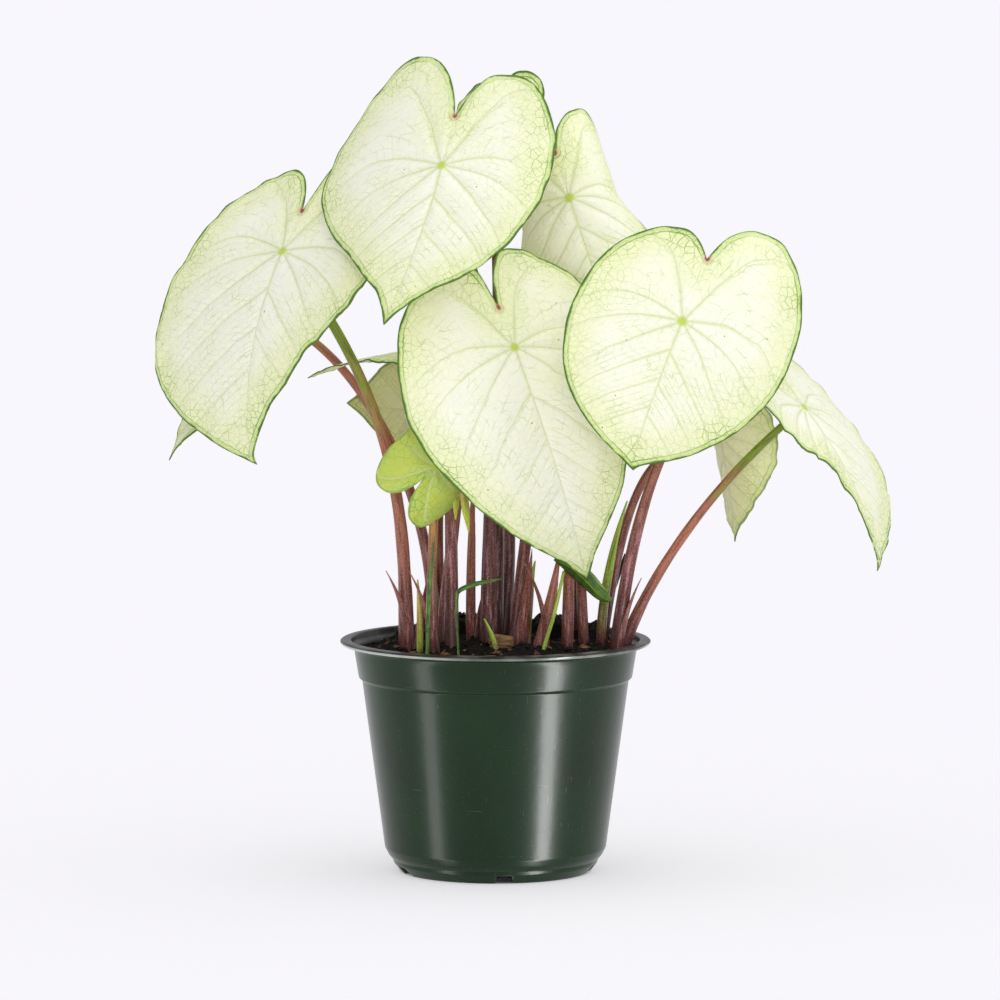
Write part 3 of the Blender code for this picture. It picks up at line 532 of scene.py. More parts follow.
def rolled_blade(leaf, angle, share, pleat):
    """Places of the blade: the flat outline rolled down across, waved, pleated and bent along.

    Across, each half follows a circle's arc. The edge rises and falls as a sine of five waves and
    of finer ruffles, the rear lobes curl down, and the main veins lie in shallow furrows. Along the
    midrib the whole is carried on a curve whose bend grows evenly from the joint.
    """
    turn = np.abs(angle)
    x, y, forward_share = flat_blade(leaf, angle, share)
    run, bend, forward, fall = midrib_curve(leaf)
    right = angle >= 0
    width = np.where(x >= 0, leaf.right[1], leaf.left[1])
    roll = np.radians(np.where(x >= 0, leaf.cup[1], leaf.cup[0])) * (1 - leaf.ease * forward_share)
    arc = roll * np.abs(x) / width
    across = width / roll * np.sin(arc) * np.sign(x)
    lift = -width / roll * (1 - np.cos(arc))
    curl = np.where(right, leaf.curl[1], leaf.curl[0])
    fold = np.clip((turn - radians(CURL_FROM)) / radians(CURL_OVER), 0, 1) ** 2
    mend = np.sin(0.5 * pi * np.clip((pi - turn) / radians(CURL_END), 0, 1)) ** 2
    lift = lift - curl * fold * mend * share**3
    ripple = np.sin(WAVES * angle + radians(leaf.phase)) * np.sin(turn / 2 + 0.2)
    lift = lift + leaf.wave * share**3 * ripple
    wide, narrow = RUFFLES
    fine = np.sin(wide * angle + leaf.phase) + 0.6 * np.sin(narrow * angle + 2 * leaf.phase)
    lift = lift + leaf.ruffle * share**6 * fine * np.clip((pi - turn) * 4, 0, 1)
    step, width_mm = vein_place(leaf, angle, share)
    apart = np.abs(step - np.round(step)) * width_mm
    middle = edge_of(angle, leaf) * share * np.abs(np.sin(angle))
    apart = np.where(np.cos(angle) > 0, np.minimum(apart, middle), apart)
    half_width = FURROW_WIDTH + FURROW_SPREAD * (1 - share)
    hollow = np.exp(-((apart / half_width) ** 2)) * np.clip(share * 5, 0, 1)
    lift = lift - pleat * hollow * (1 - 0.65 * share)
    tilt = np.interp(y, run, bend)
    length = np.interp(y, run, forward) + lift * np.sin(tilt)
    height = np.interp(y, run, fall) + lift * np.cos(tilt)
    return np.array(leaf.at) + np.stack((across, length, height), -1) @ np.array(leaf_axes(leaf))


def edge_distance(leaf, angle, share):
    """Distance in the flat from each place to the nearest of the outline's places."""
    fine = np.linspace(-pi, pi, RIM_PLACES)
    edge = edge_of(fine, leaf)
    rim = np.stack((edge * np.sin(fine), edge * np.cos(fine)), -1)
    reach = edge_of(angle, leaf) * share
    here = np.stack((reach * np.sin(angle), reach * np.cos(angle)), -1).reshape(-1, 1, 2)
    return np.sqrt(((here - rim) ** 2).sum(-1).min(-1)).reshape(angle.shape)


def leaf_mesh(leaf, pleat):
    """The blade as rings of places round the joint, closed at the joint and behind the sinus.

    Its UV maps hold, per place: the flat place in millimetres (plane), the place between veins and
    millimetres per step there (veins), the distances to the edge and to the joint (margin), and
    the distance to the sinus with the leaf's own shift of its patterns (mark).
    """
    angles = even_angles(leaf)[:-1]
    shares = 1 - (1 - np.linspace(0, 1, LEAF_RINGS + 1)[1:]) ** RING_EASE
    share, angle = np.meshgrid(shares, angles, indexing="ij")
    points = rolled_blade(leaf, angle, share, pleat)
    reach = edge_of(angle, leaf) * share
    flat_x, flat_y = reach * np.sin(angle), reach * np.cos(angle)
    step, width_mm = vein_place(leaf, angle, share)
    rim = edge_distance(leaf, angle, share)
    columns = len(angles)
    points = np.concatenate((points.reshape(-1, 3), [leaf.at]))
    centre = len(points) - 1
    low, high = np.array(CAD_BOX) / MM
    points = np.clip(points, low + EDGE_CLEAR, high - EDGE_CLEAR)
    flat = np.concatenate((np.stack((flat_x, flat_y), -1).reshape(-1, 2), [(0, 0)]))
    veins = np.concatenate((np.stack((step, width_mm), -1).reshape(-1, 2), [(1, 0)]))
    margin = np.concatenate((np.stack((rim, reach), -1).reshape(-1, 2), [(rim.max(), 0)]))
    sinus = np.hypot(flat[:, 0], flat[:, 1] + leaf.sinus)
    mark = np.column_stack((sinus, np.full(len(sinus), PATTERN_SHIFT * LEAVES.index(leaf))))
    quads = [(a, d, c, b) for a, b, c, d in grid_quads(LEAF_RINGS, columns, closed=True)]
    quads += [(centre, s, (s + 1) % columns) for s in range(columns)]
    maps = (("plane", flat), ("veins", veins), ("margin", margin), ("mark", mark))
    return new_mesh(leaf.name, points, quads, maps)


def cubic(start, near_start, near_end, end, t):
    """A cubic curve: the four places weighted by the terms of (1 - t + t) cubed."""
    t = t[:, None]
    return ((1 - t) ** 3 * start + 3 * (1 - t) ** 2 * t * near_start
            + 3 * (1 - t) * t * t * near_end + t**3 * end)


def root_place(foot):
    """The place in the nearest tuber's top where a stem starts."""
    foot = np.array(foot, float)
    _, middle, radius = min(TUBERS, key=lambda tuber: np.hypot(*(foot - tuber[1])))
    out = (foot - middle) * 0.4
    limit = 0.8 * radius * TUBER_DEPTH_SHARE
    out *= min(1, limit / max(np.hypot(*out), 1e-6))
    share = np.hypot(out[0] / radius, out[1] / (radius * TUBER_DEPTH_SHARE))
    height = TUBER_TOP - TUBER_HALF_HEIGHT * (1 - (1 - share**2) ** 0.5) + 0.6
    return np.array((*(middle + out), height))


def stalk_line(stalk, leaf):
    """Places and radii from the tuber to the leaf's back, and the share of the way up at each."""
    normal = leaf_axes(leaf)[2]
    arrive = unit(stalk.arrive or normal)
    foot = np.array((*stalk.foot, SOIL_TOP))
    lean = unit((*stalk.lean, 1))
    slant = (1 - min(1, arrive.dot(normal)) ** 2) ** 0.5
    end = np.array(leaf.at) - normal * (0.5 + (stalk.top_radius + 0.3) * slant)
    t = np.linspace(0, 1, STALK_STEPS)
    line = cubic(foot, foot + lean * stalk.low_reach, end - arrive * stalk.high_reach, end, t)
    points = np.concatenate(([root_place(stalk.foot), foot - lean * 12, foot - lean * 5], line))
    radii = stalk.radius + (stalk.top_radius - stalk.radius) * t**0.8
    radii = radii + 0.3 * np.exp(-(((1 - t) / 0.02) ** 2))
    radii = np.concatenate(([0.7 * stalk.radius, stalk.radius, stalk.radius], radii))
    return points, radii, np.concatenate(([0, 0, 0], t)) * STALK_GREEN_FROM / stalk.green


def carried_frames(points):
    """Two directions across a path at each place: one carried along by turning with the tangent."""
    tangent = unit(np.gradient(points, axis=0))
    side = np.empty_like(points)
    side[0] = unit(np.cross(tangent[0], (0.0, 1.0, 0.0)))
    for i in range(1, len(points)):
        side[i] = unit(side[i - 1] - tangent[i] * side[i - 1].dot(tangent[i]))
    return side, np.cross(tangent, side)


def tube_mesh(name, points, radii, up, shape=None):
    """A closed stem: circles of the radii carried along the path, times shape(turn, share up).

    Its UV maps hold millimetres round and along (grain), and the share up and the turn (height).
    """
    side, back = carried_frames(points)
    turns = np.linspace(0, 2 * pi, STALK_SIDES + 1)
    turn, share = np.meshgrid(turns, up)
    radius = radii[:, None] * (shape(turn, share) if shape else 1)
    ring = (points[:, None] + (radius * np.cos(turn))[..., None] * side[:, None]
            + (radius * np.sin(turn))[..., None] * back[:, None])
    along = np.concatenate(([0], np.cumsum(np.linalg.norm(np.diff(points, axis=0), axis=1))))
    grain = np.stack((turn * radii.mean(), np.broadcast_to(along[:, None], turn.shape)), -1)
    height = np.stack((share, turn / (2 * pi)), -1)
    rows, columns = turn.shape
    places = np.concatenate((ring.reshape(-1, 3), points[:1], points[-1:]))
    grain = np.concatenate((grain.reshape(-1, 2), [(0, along[0]), (0, along[-1])]))
    height = np.concatenate((height.reshape(-1, 2), [(up[0], 0), (up[-1], 0)]))
    quads = grid_quads(rows, columns)
    low, high, top = rows * columns, rows * columns + 1, (rows - 1) * columns
    quads += [(low, s + 1, s) for s in range(columns - 1)]
    quads += [(high, top + s, top + s + 1) for s in range(columns - 1)]
    mesh = new_mesh(name, places, quads, (("grain", grain), ("height", height)))
    close_seams(mesh)
    return mesh


def close_seams(mesh):
    """Merges the places that coincide and turns every face outwards."""
    shell = bmesh.new()
    shell.from_mesh(mesh)
    bmesh.ops.remove_doubles(shell, verts=shell.verts, dist=0.000001)
    bmesh.ops.recalc_face_normals(shell, faces=shell.faces)
    shell.to_mesh(mesh)
    shell.free()
    mesh.shade_smooth()


def stalk_shape(seed):
    """How a stalk's section swells: a flange of its sheath low down, fine ribs and gentle knots."""
    def shape(turn, share):
        facing = turn - radians(40 + 97 * seed)
        near = np.exp(-((np.sin(facing / 2) / 0.22) ** 2))
        low = np.clip(1 - share / 0.30, 0, 1) ** 0.7
        ribs = 0.018 * np.sin(9 * turn + 6 * share) + 0.012 * np.sin(4 * turn - 9 * share)
        knots = 0.03 * value_noise(share * 9, seed, 0.0, 3)
        return 1 + SHEATH_FLANGE * near * low + ribs + knots + 0.10 * low
    return shape


def sheath_mesh(name, base, out, length, width):
    """A pointed tongue of old sheath: a strip bent outwards, hollow across, narrow at its tip."""
    rows, columns = 24, 9
    t, s = np.meshgrid(np.linspace(0, 1, rows), np.linspace(-1, 1, columns), indexing="ij")
    out = unit((*out, 0))
    across = np.array((-out[1], out[0], 0))
    half = width * (1 - t**1.8) * (0.55 + 0.45 * np.cos(1.1 * t))
    rise = length * t
    lean = 0.24 * length * t**2.2
    hollow = 0.55 * half * s**2
    bend = 0.05 * length * np.sin(3 * t)
    points = (np.array(base) + rise[..., None] * (0, 0, 1) + (lean - hollow)[..., None] * out
              + (half * s + bend)[..., None] * across)
    uv = np.stack((half * s + 4, rise), -1).reshape(-1, 2)
    height = np.stack((t * 0.4, s), -1).reshape(-1, 2)
    quads = grid_quads(rows, columns)
    return new_mesh(name, points.reshape(-1, 3), quads, (("grain", uv), ("height", height)))


def shoot_line(shoot):
    """Places and radii of a tapering stem bowed sideways by a parabola."""
    foot = np.array((*shoot.foot, SOIL_TOP))
    t = np.linspace(0, 1, SHOOT_STEPS)
    bow = np.array((*shoot.bow, 0.0))
    line = foot + (np.array(shoot.tip) - foot) * t[:, None] + bow * (4 * t * (1 - t))[:, None]
    points = np.concatenate(([foot - (0, 0, PLANTED)], line))
    radii = shoot.radius + (shoot.blunt - shoot.radius) * t**2.2
    return points, np.concatenate(([shoot.radius], radii)), np.concatenate(([0], t))


def rolled_shape(turn, share):
    """A rolled leaf's section: its radius grows round to a step, which winds up the stem."""
    wind = (turn + 5.0 * share) % (2 * pi)
    return 1 + 0.16 * (wind / (2 * pi)) ** 3 * np.clip(share * 8, 0, 1) - 0.06


def ribbon_mesh(name, line, widths, side, fold, columns=9):
    """A narrow leaf: a strip along a smooth curve through the places, folded along its middle."""
    rows, up_share = smooth_rows(np.column_stack((line, widths)), RIBBON_STEPS)
    middle, half = rows[:, :3], rows[:, 3] / 2
    along = unit(np.gradient(middle, axis=0))
    side = np.array(side, float)
    across = unit(side - along * (along @ side)[:, None])
    up = np.cross(across, along)
    s = np.linspace(-1, 1, columns)
    spread = half[:, None] * s
    rise = fold * half[:, None] * (np.abs(s) - 0.4)
    points = middle[:, None] + spread[..., None] * across[:, None] + rise[..., None] * up[:, None]
    run = np.concatenate(([0], np.cumsum(np.linalg.norm(np.diff(middle, axis=0), axis=1))))
    grain = np.stack((spread, np.broadcast_to(run[:, None], spread.shape)), -1).reshape(-1, 2)
    height = np.stack(np.broadcast_arrays(up_share[:, None], s), -1).reshape(-1, 2)
    return new_mesh(name, points.reshape(-1, 3), grid_quads(RIBBON_STEPS, columns),
                    (("grain", grain), ("height", height)))


def thicken(obj, thickness, under=0):
    """A wall to a sheet, half on each side; its far face takes the next skin."""
    wall = obj.modifiers.new("thickness", "SOLIDIFY")
    wall.thickness = thickness
    wall.offset = 0
    wall.material_offset = under
    wall.use_even_offset = False


def profile_line(corners, round_by, steps=4):
    """The profile with each corner turned into a short parabola from side to side."""
    corners = np.array(corners, float)
    line = [corners[0]]
    for before, here, after in zip(corners[:-2], corners[1:-1], corners[2:]):
        into, out = here - before, after - here
        reach_in = min(round_by, 0.45 * np.hypot(*into))
        reach_out = min(round_by, 0.45 * np.hypot(*out))
        start, end = here - unit(into) * reach_in, here + unit(out) * reach_out
        for t in np.linspace(0, 1, steps):
            line.append((1 - t) ** 2 * start + 2 * t * (1 - t) * here + t * t * end)
    line.append(corners[-1])
    return np.array(line)


def pot_mesh():
    """The turned pot: its rounded profile carried round the axis, with five notches in its foot.

    Inside a notch's turns the places of the foot ring below the notch's top are raised to it.
    """
    line = profile_line(POT_PROFILE, 0.5)
    turns = np.linspace(0, 2 * pi, POT_TURNS, endpoint=False)
    turn, radius = np.meshgrid(turns, line[1:-1, 0], indexing="xy")
    height = np.broadcast_to(line[1:-1, 1][:, None], turn.shape)
    pitch = 2 * pi / DRAIN_COUNT
    nearest = (turn - radians(DRAIN_TURN - 90) + pitch / 2) % pitch - pitch / 2
    half = (DRAIN_WIDTH + (DRAIN_TOP_WIDTH - DRAIN_WIDTH) * height / DRAIN_HEIGHT) / 2
    cut = (np.abs(nearest) * radius < half) & (radius > FOOT_INNER - 1.0) & (height < DRAIN_HEIGHT)
    height = np.where(cut & (radius < FOOT_OUTER), DRAIN_HEIGHT, height)
    points = np.stack((radius * np.cos(turn), radius * np.sin(turn), height), -1).reshape(-1, 3)
    points = np.concatenate((points, [(0, 0, line[0, 1]), (0, 0, line[-1, 1])]))
    rows, columns = turn.shape
    quads = grid_quads(rows, columns, closed=True)
    first, last, low = rows * columns, rows * columns + 1, (rows - 1) * columns
    quads += [(first, (s + 1) % columns, s) for s in range(columns)]
    quads += [(last, low + s, low + (s + 1) % columns) for s in range(columns)]
    mesh = new_mesh("pot", points, quads)
    lip = int(np.argmax(line[1:-1, 0]))
    face = np.arange(len(quads))
    black = (face < (lip - 1) * columns) | (face == rows * columns)
    black[: (rows - 1) * columns] |= (cut[:-1] | cut[1:]).ravel()
    mesh.polygons.foreach_set("material_index", black.astype(np.int32))
    close_seams(mesh)
    return mesh


def soil_surface(x, y):
    """Height of the peat's top: a mound with long lumps, clods on it, and three finer crumbs."""
    radius, turn = np.hypot(x, y), np.arctan2(y, x)
    mound = SOIL_MOUND * (1 - (radius / SOIL_RADIUS) ** 2)
    lumps = (np.sin(3 * turn + radius / 9) + np.sin(7 * turn - radius / 6 + 1)
             + np.sin(radius / 4 + 2 * turn))
    height = SOIL_TOP + mound + SOIL_LUMP * 0.6 * lumps
    for cx, cy, cz, clod in CLODS:
        away = ((x - cx) ** 2 + (y - cy) ** 2) / clod**2
        dome = cz + 0.75 * clod * np.sqrt(np.clip(1 - away, 0, 1))
        height = np.maximum(height, np.where(away < 1, dome, 0))
    crumbs = 1.5 * np.abs(value_noise(x / 7, y / 7, seed=5))
    crumbs = crumbs + 1.1 * value_noise(x / 3.1, y / 3.1, seed=6)
    crumbs = crumbs + 0.7 * value_noise(x / 1.4, y / 1.4, seed=7)
    return height + crumbs * np.clip((SOIL_RADIUS - radius) / 3, 0.3, 1) - 0.8


def soil_mesh():
    """The peat: a fine disc of places at the soil's height, its skirt and floor following the pot.

    The disc is a square grid drawn out to a circle: each place keeps its larger coordinate as its
    radius, and the smaller one gives its turn within that quarter.
    """
    side = PEAT_PLACES
    u, v = np.meshgrid(np.linspace(-1, 1, side), np.linspace(-1, 1, side), indexing="ij")
    big = np.maximum(np.abs(u), np.abs(v))
    scale = big / np.maximum(np.hypot(u, v), 1e-9)
    x, y = u * scale * SOIL_RADIUS, v * scale * SOIL_RADIUS
    points = np.stack((x, y, soil_surface(x, y)), -1).reshape(-1, 3)
    index = np.arange(side * side).reshape(side, side)
    rim = np.concatenate((index[0, :-1], index[:-1, -1], index[-1, :0:-1], index[:0:-1, 0]))
    quads = grid_quads(side, side)
    loop, before = points[rim], rim
    for radius, height in SOIL_SKIRT:
        ring = unit(loop[:, :2]) * radius
        start = len(points)
        points = np.concatenate((points, np.column_stack((ring, np.full(len(ring), height)))))
        here = np.arange(start, start + len(ring))
        quads += np.stack((before, np.roll(before, -1), np.roll(here, -1), here), -1).tolist()
        before = here
    quads.append(tuple(before.tolist()))
    mesh = new_mesh("soil", points, quads)
    close_seams(mesh)
    return mesh


def crumb_mesh(name, count, size, squash, seed, stretch):
    """Loose bits on the peat: small eight-sided lumps, each stretched, turned and sunk a little."""
    chance = np.random.default_rng(seed)
    reach = CRUMB_SPREAD * np.sqrt(chance.random(count))
    turn = 2 * pi * chance.random(count)
    x, y = reach * np.cos(turn), reach * np.sin(turn)
    scale = size * (0.5 + chance.random(count) ** 2)
    lump = np.array(((1, 0, 0), (0, 1, 0), (-1, 0, 0), (0, -1, 0), (0, 0, 1), (0, 0, -1)), float)
    faces = np.array(((0, 1, 4), (1, 2, 4), (2, 3, 4), (3, 0, 4), (1, 0, 5), (2, 1, 5), (3, 2, 5),
                      (0, 3, 5)))
    own = lump * (1, 1, squash) + 0.25 * (chance.random((count, 6, 3)) - 0.5)
    own[..., 0] *= stretch
    spin = 2 * pi * chance.random(count)
    c, s = np.cos(spin)[:, None], np.sin(spin)[:, None]
    turned = np.stack((own[..., 0] * c - own[..., 1] * s, own[..., 0] * s + own[..., 1] * c,
                       own[..., 2]), -1)
    floor = soil_surface(x, y) + 0.25 * scale * squash
    points = turned * scale[:, None, None] + np.stack((x, y, floor), -1)[:, None]
    quads = faces[None] + 6 * np.arange(count)[:, None, None]
    mesh = new_mesh(name, points.reshape(-1, 3), quads.reshape(-1, 3).tolist())
    mesh.shade_flat()
    return mesh


def bark_mesh(name, centre, size, turns, seed):
    """A broken piece of bark: a cube's sides as fine grids, roughened, stretched and turned."""
    steps = 18
    u, v = np.meshgrid(np.linspace(-1, 1, steps), np.linspace(-1, 1, steps), indexing="ij")
    one = np.ones_like(u)
    sides = ((u, v, one), (v, u, -one), (one, u, v), (-one, v, u), (v, one, u), (u, -one, v))
    points = np.concatenate([np.stack(side, -1).reshape(-1, 3) for side in sides])
    points = points / np.maximum(np.linalg.norm(points, axis=1) ** 0.35, 0.01)[:, None]
    rough = 0.10 * value_noise(*(points * 2.2).T, seed) + 0.05 * value_noise(*(points * 5).T, seed)
    points = points * (1 + rough)[:, None] * 0.5
    points[:, 2] += 0.06 * value_noise(points[:, 0] * 3, points[:, 1] * 9, 0.0, seed)
    points *= size
    rx, ry, rz = (radians(turn) for turn in turns)
    about_x = np.array(((1, 0, 0), (0, cos(rx), -sin(rx)), (0, sin(rx), cos(rx))))
    about_y = np.array(((cos(ry), 0, sin(ry)), (0, 1, 0), (-sin(ry), 0, cos(ry))))
    about_z = np.array(((cos(rz), -sin(rz), 0), (sin(rz), cos(rz), 0), (0, 0, 1)))
    points = points @ (about_z @ about_y @ about_x).T + centre
    quads = []
    for face in range(6):
        quads += (np.array(grid_quads(steps, steps)) + face * steps * steps).tolist()
    mesh = new_mesh(name, points, quads)
    close_seams(mesh)
    return mesh


MATH, MIX, RANGE = "ShaderNodeMath", "ShaderNodeMix", "ShaderNodeMapRange"
NOISE, CELLS, BUMP = "ShaderNodeTexNoise", "ShaderNodeTexVoronoi", "ShaderNodeBump"
MAPPING, COORDINATES, UV_MAP = "ShaderNodeMapping", "ShaderNodeTexCoord", "ShaderNodeUVMap"
SPLIT, VECTOR = "ShaderNodeSeparateXYZ", "ShaderNodeVectorMath"
IN_OBJECT = 3  # the output of Texture Coordinate that gives the place in the object
SMOOTH = {"interpolation_type": "SMOOTHSTEP"}


def add(tree, kind, links=None, out=0, **settings):
    """A node with its settings, and its inputs linked or set; gives back the output asked for."""
    made = tree.nodes.new(kind)
    for name, value in settings.items():
        setattr(made, name, value)
    for name, value in (links or {}).items():
        if isinstance(value, bpy.types.NodeSocket):
            tree.links.new(value, made.inputs[name])
        else:
            made.inputs[name].default_value = value
    return made.outputs[out]


def new_skin(name):
    """An empty finish: its node tree, and a call that colours it and sets its shader's inputs.

    The call lays each (share, colour) over the ground in turn. A colour is three numbers, or the
    output of a node.
    """
    skin = bpy.data.materials.new(name)
    skin.use_nodes = True
    tree = skin.node_tree
    shader = tree.nodes["Principled BSDF"]

    def finish(ground, *layers, **inputs):
        colour = rgba(ground)
        for share, over in layers:
            over = over if isinstance(over, bpy.types.NodeSocket) else rgba(over)
            colour = add(tree, MIX, {0: share, 6: colour, 7: over}, out=2, data_type="RGBA")
        for label, value in {"Base_Color": colour, **inputs}.items():
            socket = shader.inputs[label.replace("_", " ")]
            if isinstance(value, bpy.types.NodeSocket):
                tree.links.new(value, socket)
            else:
                socket.default_value = value
        return skin

    return tree, finish


def leaf_skin(name, look, young=False, under=False):
    """Caladium leaf, upper or under side: a white waxy blade with a green net, veins and margin.

    The blade is white by the joint and flushes green to the edge. The eye reads thin wet-looking
    paper: soft gloss, light through it, furrows along the veins. A young leaf is limp and
    yellow-green, with a fainter edge and no mark at the sinus.
    """
    tree, finish = new_skin(name)
    labels = ("plane", "veins", "margin", "mark")
    plane, *maps = [add(tree, UV_MAP, uv_map=label) for label in labels]
    (step, step_mm, _), (edge, reach, _), (sinus, own, _) = [
        add(tree, SPLIT, {0: values}).node.outputs for values in maps]
    shift = add(tree, "ShaderNodeCombineXYZ", {0: own, 1: own, 2: own})
    moved = add(tree, VECTOR, {0: plane, 1: shift}, operation="ADD")
    # Clouds 30 mm across, grain 3 mm, patches 9 mm, and waves 7 mm across that bend the net.
    cloud, grain, patches, wander = [
        add(tree, NOISE, {"Vector": moved, "Scale": 1 / size, "Detail": detail}, out=out)
        for size, detail, out in ((30, 3, 0), (3, 4, 0), (9, 3, 0), (7, 2, 1))]
    wander = add(tree, VECTOR, {0: wander, 3: 3.2}, operation="SCALE")
    bent = add(tree, VECTOR, {0: moved, 1: wander}, operation="ADD")

    # A main vein lies on each whole number of the step, and the midrib runs down the middle.
    waver = add(tree, MATH, {0: cloud, 1: 0.5}, operation="SUBTRACT")
    step = add(tree, MATH, {0: waver, 1: 0.35, 2: step}, operation="MULTIPLY_ADD")
    off = add(tree, MATH, {0: step, 1: 1.0}, operation="PINGPONG")
    off = add(tree, MATH, {0: off, 1: 0.5}, operation="SUBTRACT")
    off = add(tree, MATH, {0: off}, operation="ABSOLUTE")
    off = add(tree, MATH, {0: 0.5, 1: off}, operation="SUBTRACT")
    apart = add(tree, MATH, {0: off, 1: step_mm}, operation="MULTIPLY")
    across, along, _ = add(tree, SPLIT, {0: plane}).node.outputs
    middle = add(tree, MATH, {0: across}, operation="ABSOLUTE")
    behind = add(tree, RANGE, {0: along, 1: 0.0, 2: -2.0, 4: 50.0})
    middle = add(tree, MATH, {0: middle, 1: behind}, operation="ADD")
    apart = add(tree, MATH, {0: apart, 1: middle}, operation="MINIMUM")
    vein_width = add(tree, RANGE, {0: reach, 1: 0.0, 2: 70.0, 3: 0.72, 4: 0.20})
    vein_near = add(tree, MATH, {0: apart, 1: vein_width}, operation="DIVIDE")
    vein = add(tree, RANGE, {0: vein_near, 1: 1.25, 2: 0.55}, **SMOOTH)
    # Side veins leave each main vein every 5 mm and run obliquely outwards, and others lie four to
    # a step between the main veins.
    slant = add(tree, MATH, {0: apart, 1: -0.75, 2: reach}, operation="MULTIPLY_ADD")
    jitter = add(tree, MATH, {0: patches, 1: 9.0, 2: slant}, operation="MULTIPLY_ADD")
    ribs = add(tree, MATH, {0: jitter, 1: 0.19}, operation="MULTIPLY")
    ribs = add(tree, MATH, {0: ribs, 1: 0.5}, operation="PINGPONG")
    rib = add(tree, RANGE, {0: ribs, 1: 0.05, 2: 0.012}, **SMOOTH)
    quarter = add(tree, MATH, {0: grain, 1: 0.10, 2: step}, operation="MULTIPLY_ADD")
    quarter = add(tree, MATH, {0: quarter, 1: 0.125}, operation="PINGPONG")
    quarter = add(tree, MATH, {0: quarter, 1: step_mm}, operation="MULTIPLY")
    quarter = add(tree, RANGE, {0: quarter, 1: 0.34, 2: 0.10}, **SMOOTH)
    far = add(tree, RANGE, {0: reach, 1: 12.0, 2: 34.0})
    quarter = add(tree, MATH, {0: quarter, 1: far}, operation="MULTIPLY")
    rib = add(tree, MATH, {0: rib, 1: quarter}, operation="MAXIMUM")
    # The net's meshes are about 4 mm across, its threads 0.3 mm, with a finer net between them.
    thread, fine = [
        add(tree, RANGE, {0: add(tree, CELLS, {"Vector": bent, "Scale": scale / look.net_size},
                                 feature="DISTANCE_TO_EDGE", voronoi_dimensions="2D"),
                          1: wide, 2: narrow}, **SMOOTH)
        for scale, wide, narrow in ((1.0, 0.060, 0.015), (2.3, 0.10, 0.03))]

    flush = add(tree, RANGE, {0: edge, 1: look.flush, 2: 1.5}, interpolation_type="SMOOTHERSTEP")
    cloudy = add(tree, MATH, {0: cloud, 1: 1.5, 2: -0.5}, operation="MULTIPLY_ADD", use_clamp=True)
    flush = add(tree, MATH, {0: flush, 1: 0.55}, operation="MULTIPLY")
    tint = add(tree, MATH, {0: cloudy, 1: 0.45, 2: flush}, operation="MULTIPLY_ADD", use_clamp=True)
    # Threads show most towards the edge, and where the clouds are green.
    outer = add(tree, RANGE, {0: edge, 1: 22.0, 2: 2.0, 3: 0.14, 4: 0.9})
    broken = add(tree, RANGE, {0: cloud, 1: 0.40, 2: 0.62, 3: 0.25, 4: 1.0})
    outer = add(tree, MATH, {0: outer, 1: broken}, operation="MULTIPLY")
    worn = add(tree, RANGE, {0: patches, 1: 0.42, 2: 0.55, 3: 0.45, 4: 1.0})
    outer = add(tree, MATH, {0: outer, 1: worn}, operation="MULTIPLY")
    show = add(tree, MATH, {0: thread, 1: outer}, operation="MULTIPLY", use_clamp=True)
    faint = add(tree, MATH, {0: fine, 1: outer}, operation="MULTIPLY")
    faint = add(tree, MATH, {0: faint, 1: 0.22}, operation="MULTIPLY", use_clamp=True)
    gaps = add(tree, RANGE, {0: patches, 1: 0.42, 2: 0.64, 3: 0.05, 4: 0.60})
    streak = add(tree, MATH, {0: rib, 1: gaps}, operation="MULTIPLY")
    vein_show = add(tree, MATH, {0: vein, 1: 0.55}, operation="MULTIPLY")
    # Painted shade: the furrows beside the veins near the joint are coloured olive grey.
    beside = add(tree, RANGE, {0: apart, 1: 2.6, 2: 0.5, 4: 0.15}, **SMOOTH)
    inner = add(tree, RANGE, {0: reach, 1: 42.0, 2: 6.0})
    crease = add(tree, MATH, {0: beside, 1: inner}, operation="MULTIPLY")
    # A broken vein runs 4 mm inside the edge, a light green band outside it.
    beyond = add(tree, MATH, {0: grain, 1: 1.6, 2: edge}, operation="MULTIPLY_ADD")
    band = add(tree, RANGE, {0: beyond, 1: 5.0, 2: 1.5, 4: 0.3 if young else 0.65})
    line = add(tree, MATH, {0: beyond, 1: 3.7}, operation="SUBTRACT")
    line = add(tree, MATH, {0: line}, operation="ABSOLUTE")
    line = add(tree, RANGE, {0: line, 1: 0.42, 2: 0.12, 4: 0.2 if young else 0.85})
    line = add(tree, MATH, {0: line, 1: broken}, operation="MULTIPLY")
    rim_width = add(tree, RANGE, {0: patches, 1: 0.35, 2: 0.65, 3: 0.55, 4: 1.6})
    rim = add(tree, MATH, {0: edge, 1: rim_width}, operation="DIVIDE")
    rim = add(tree, RANGE, {0: rim, 1: 1.15, 2: 0.6, 4: 0.4 if young else 0.95})
    # Leaf joint: a bright spot 3 mm across, and a red-brown mark with a pink halo at the sinus.
    spot = add(tree, RANGE, {0: reach, 1: 3.6, 2: 1.2, 4: 0.9}, **SMOOTH)
    if young:
        sinus = add(tree, MATH, {0: sinus, 1: 99.0}, operation="ADD")
    halo = add(tree, RANGE, {0: sinus, 1: 4.2, 2: 1.5, 4: 0.45}, **SMOOTH)
    mark = add(tree, RANGE, {0: sinus, 1: 2.0, 2: 0.9, 4: 0.9}, **SMOOTH)
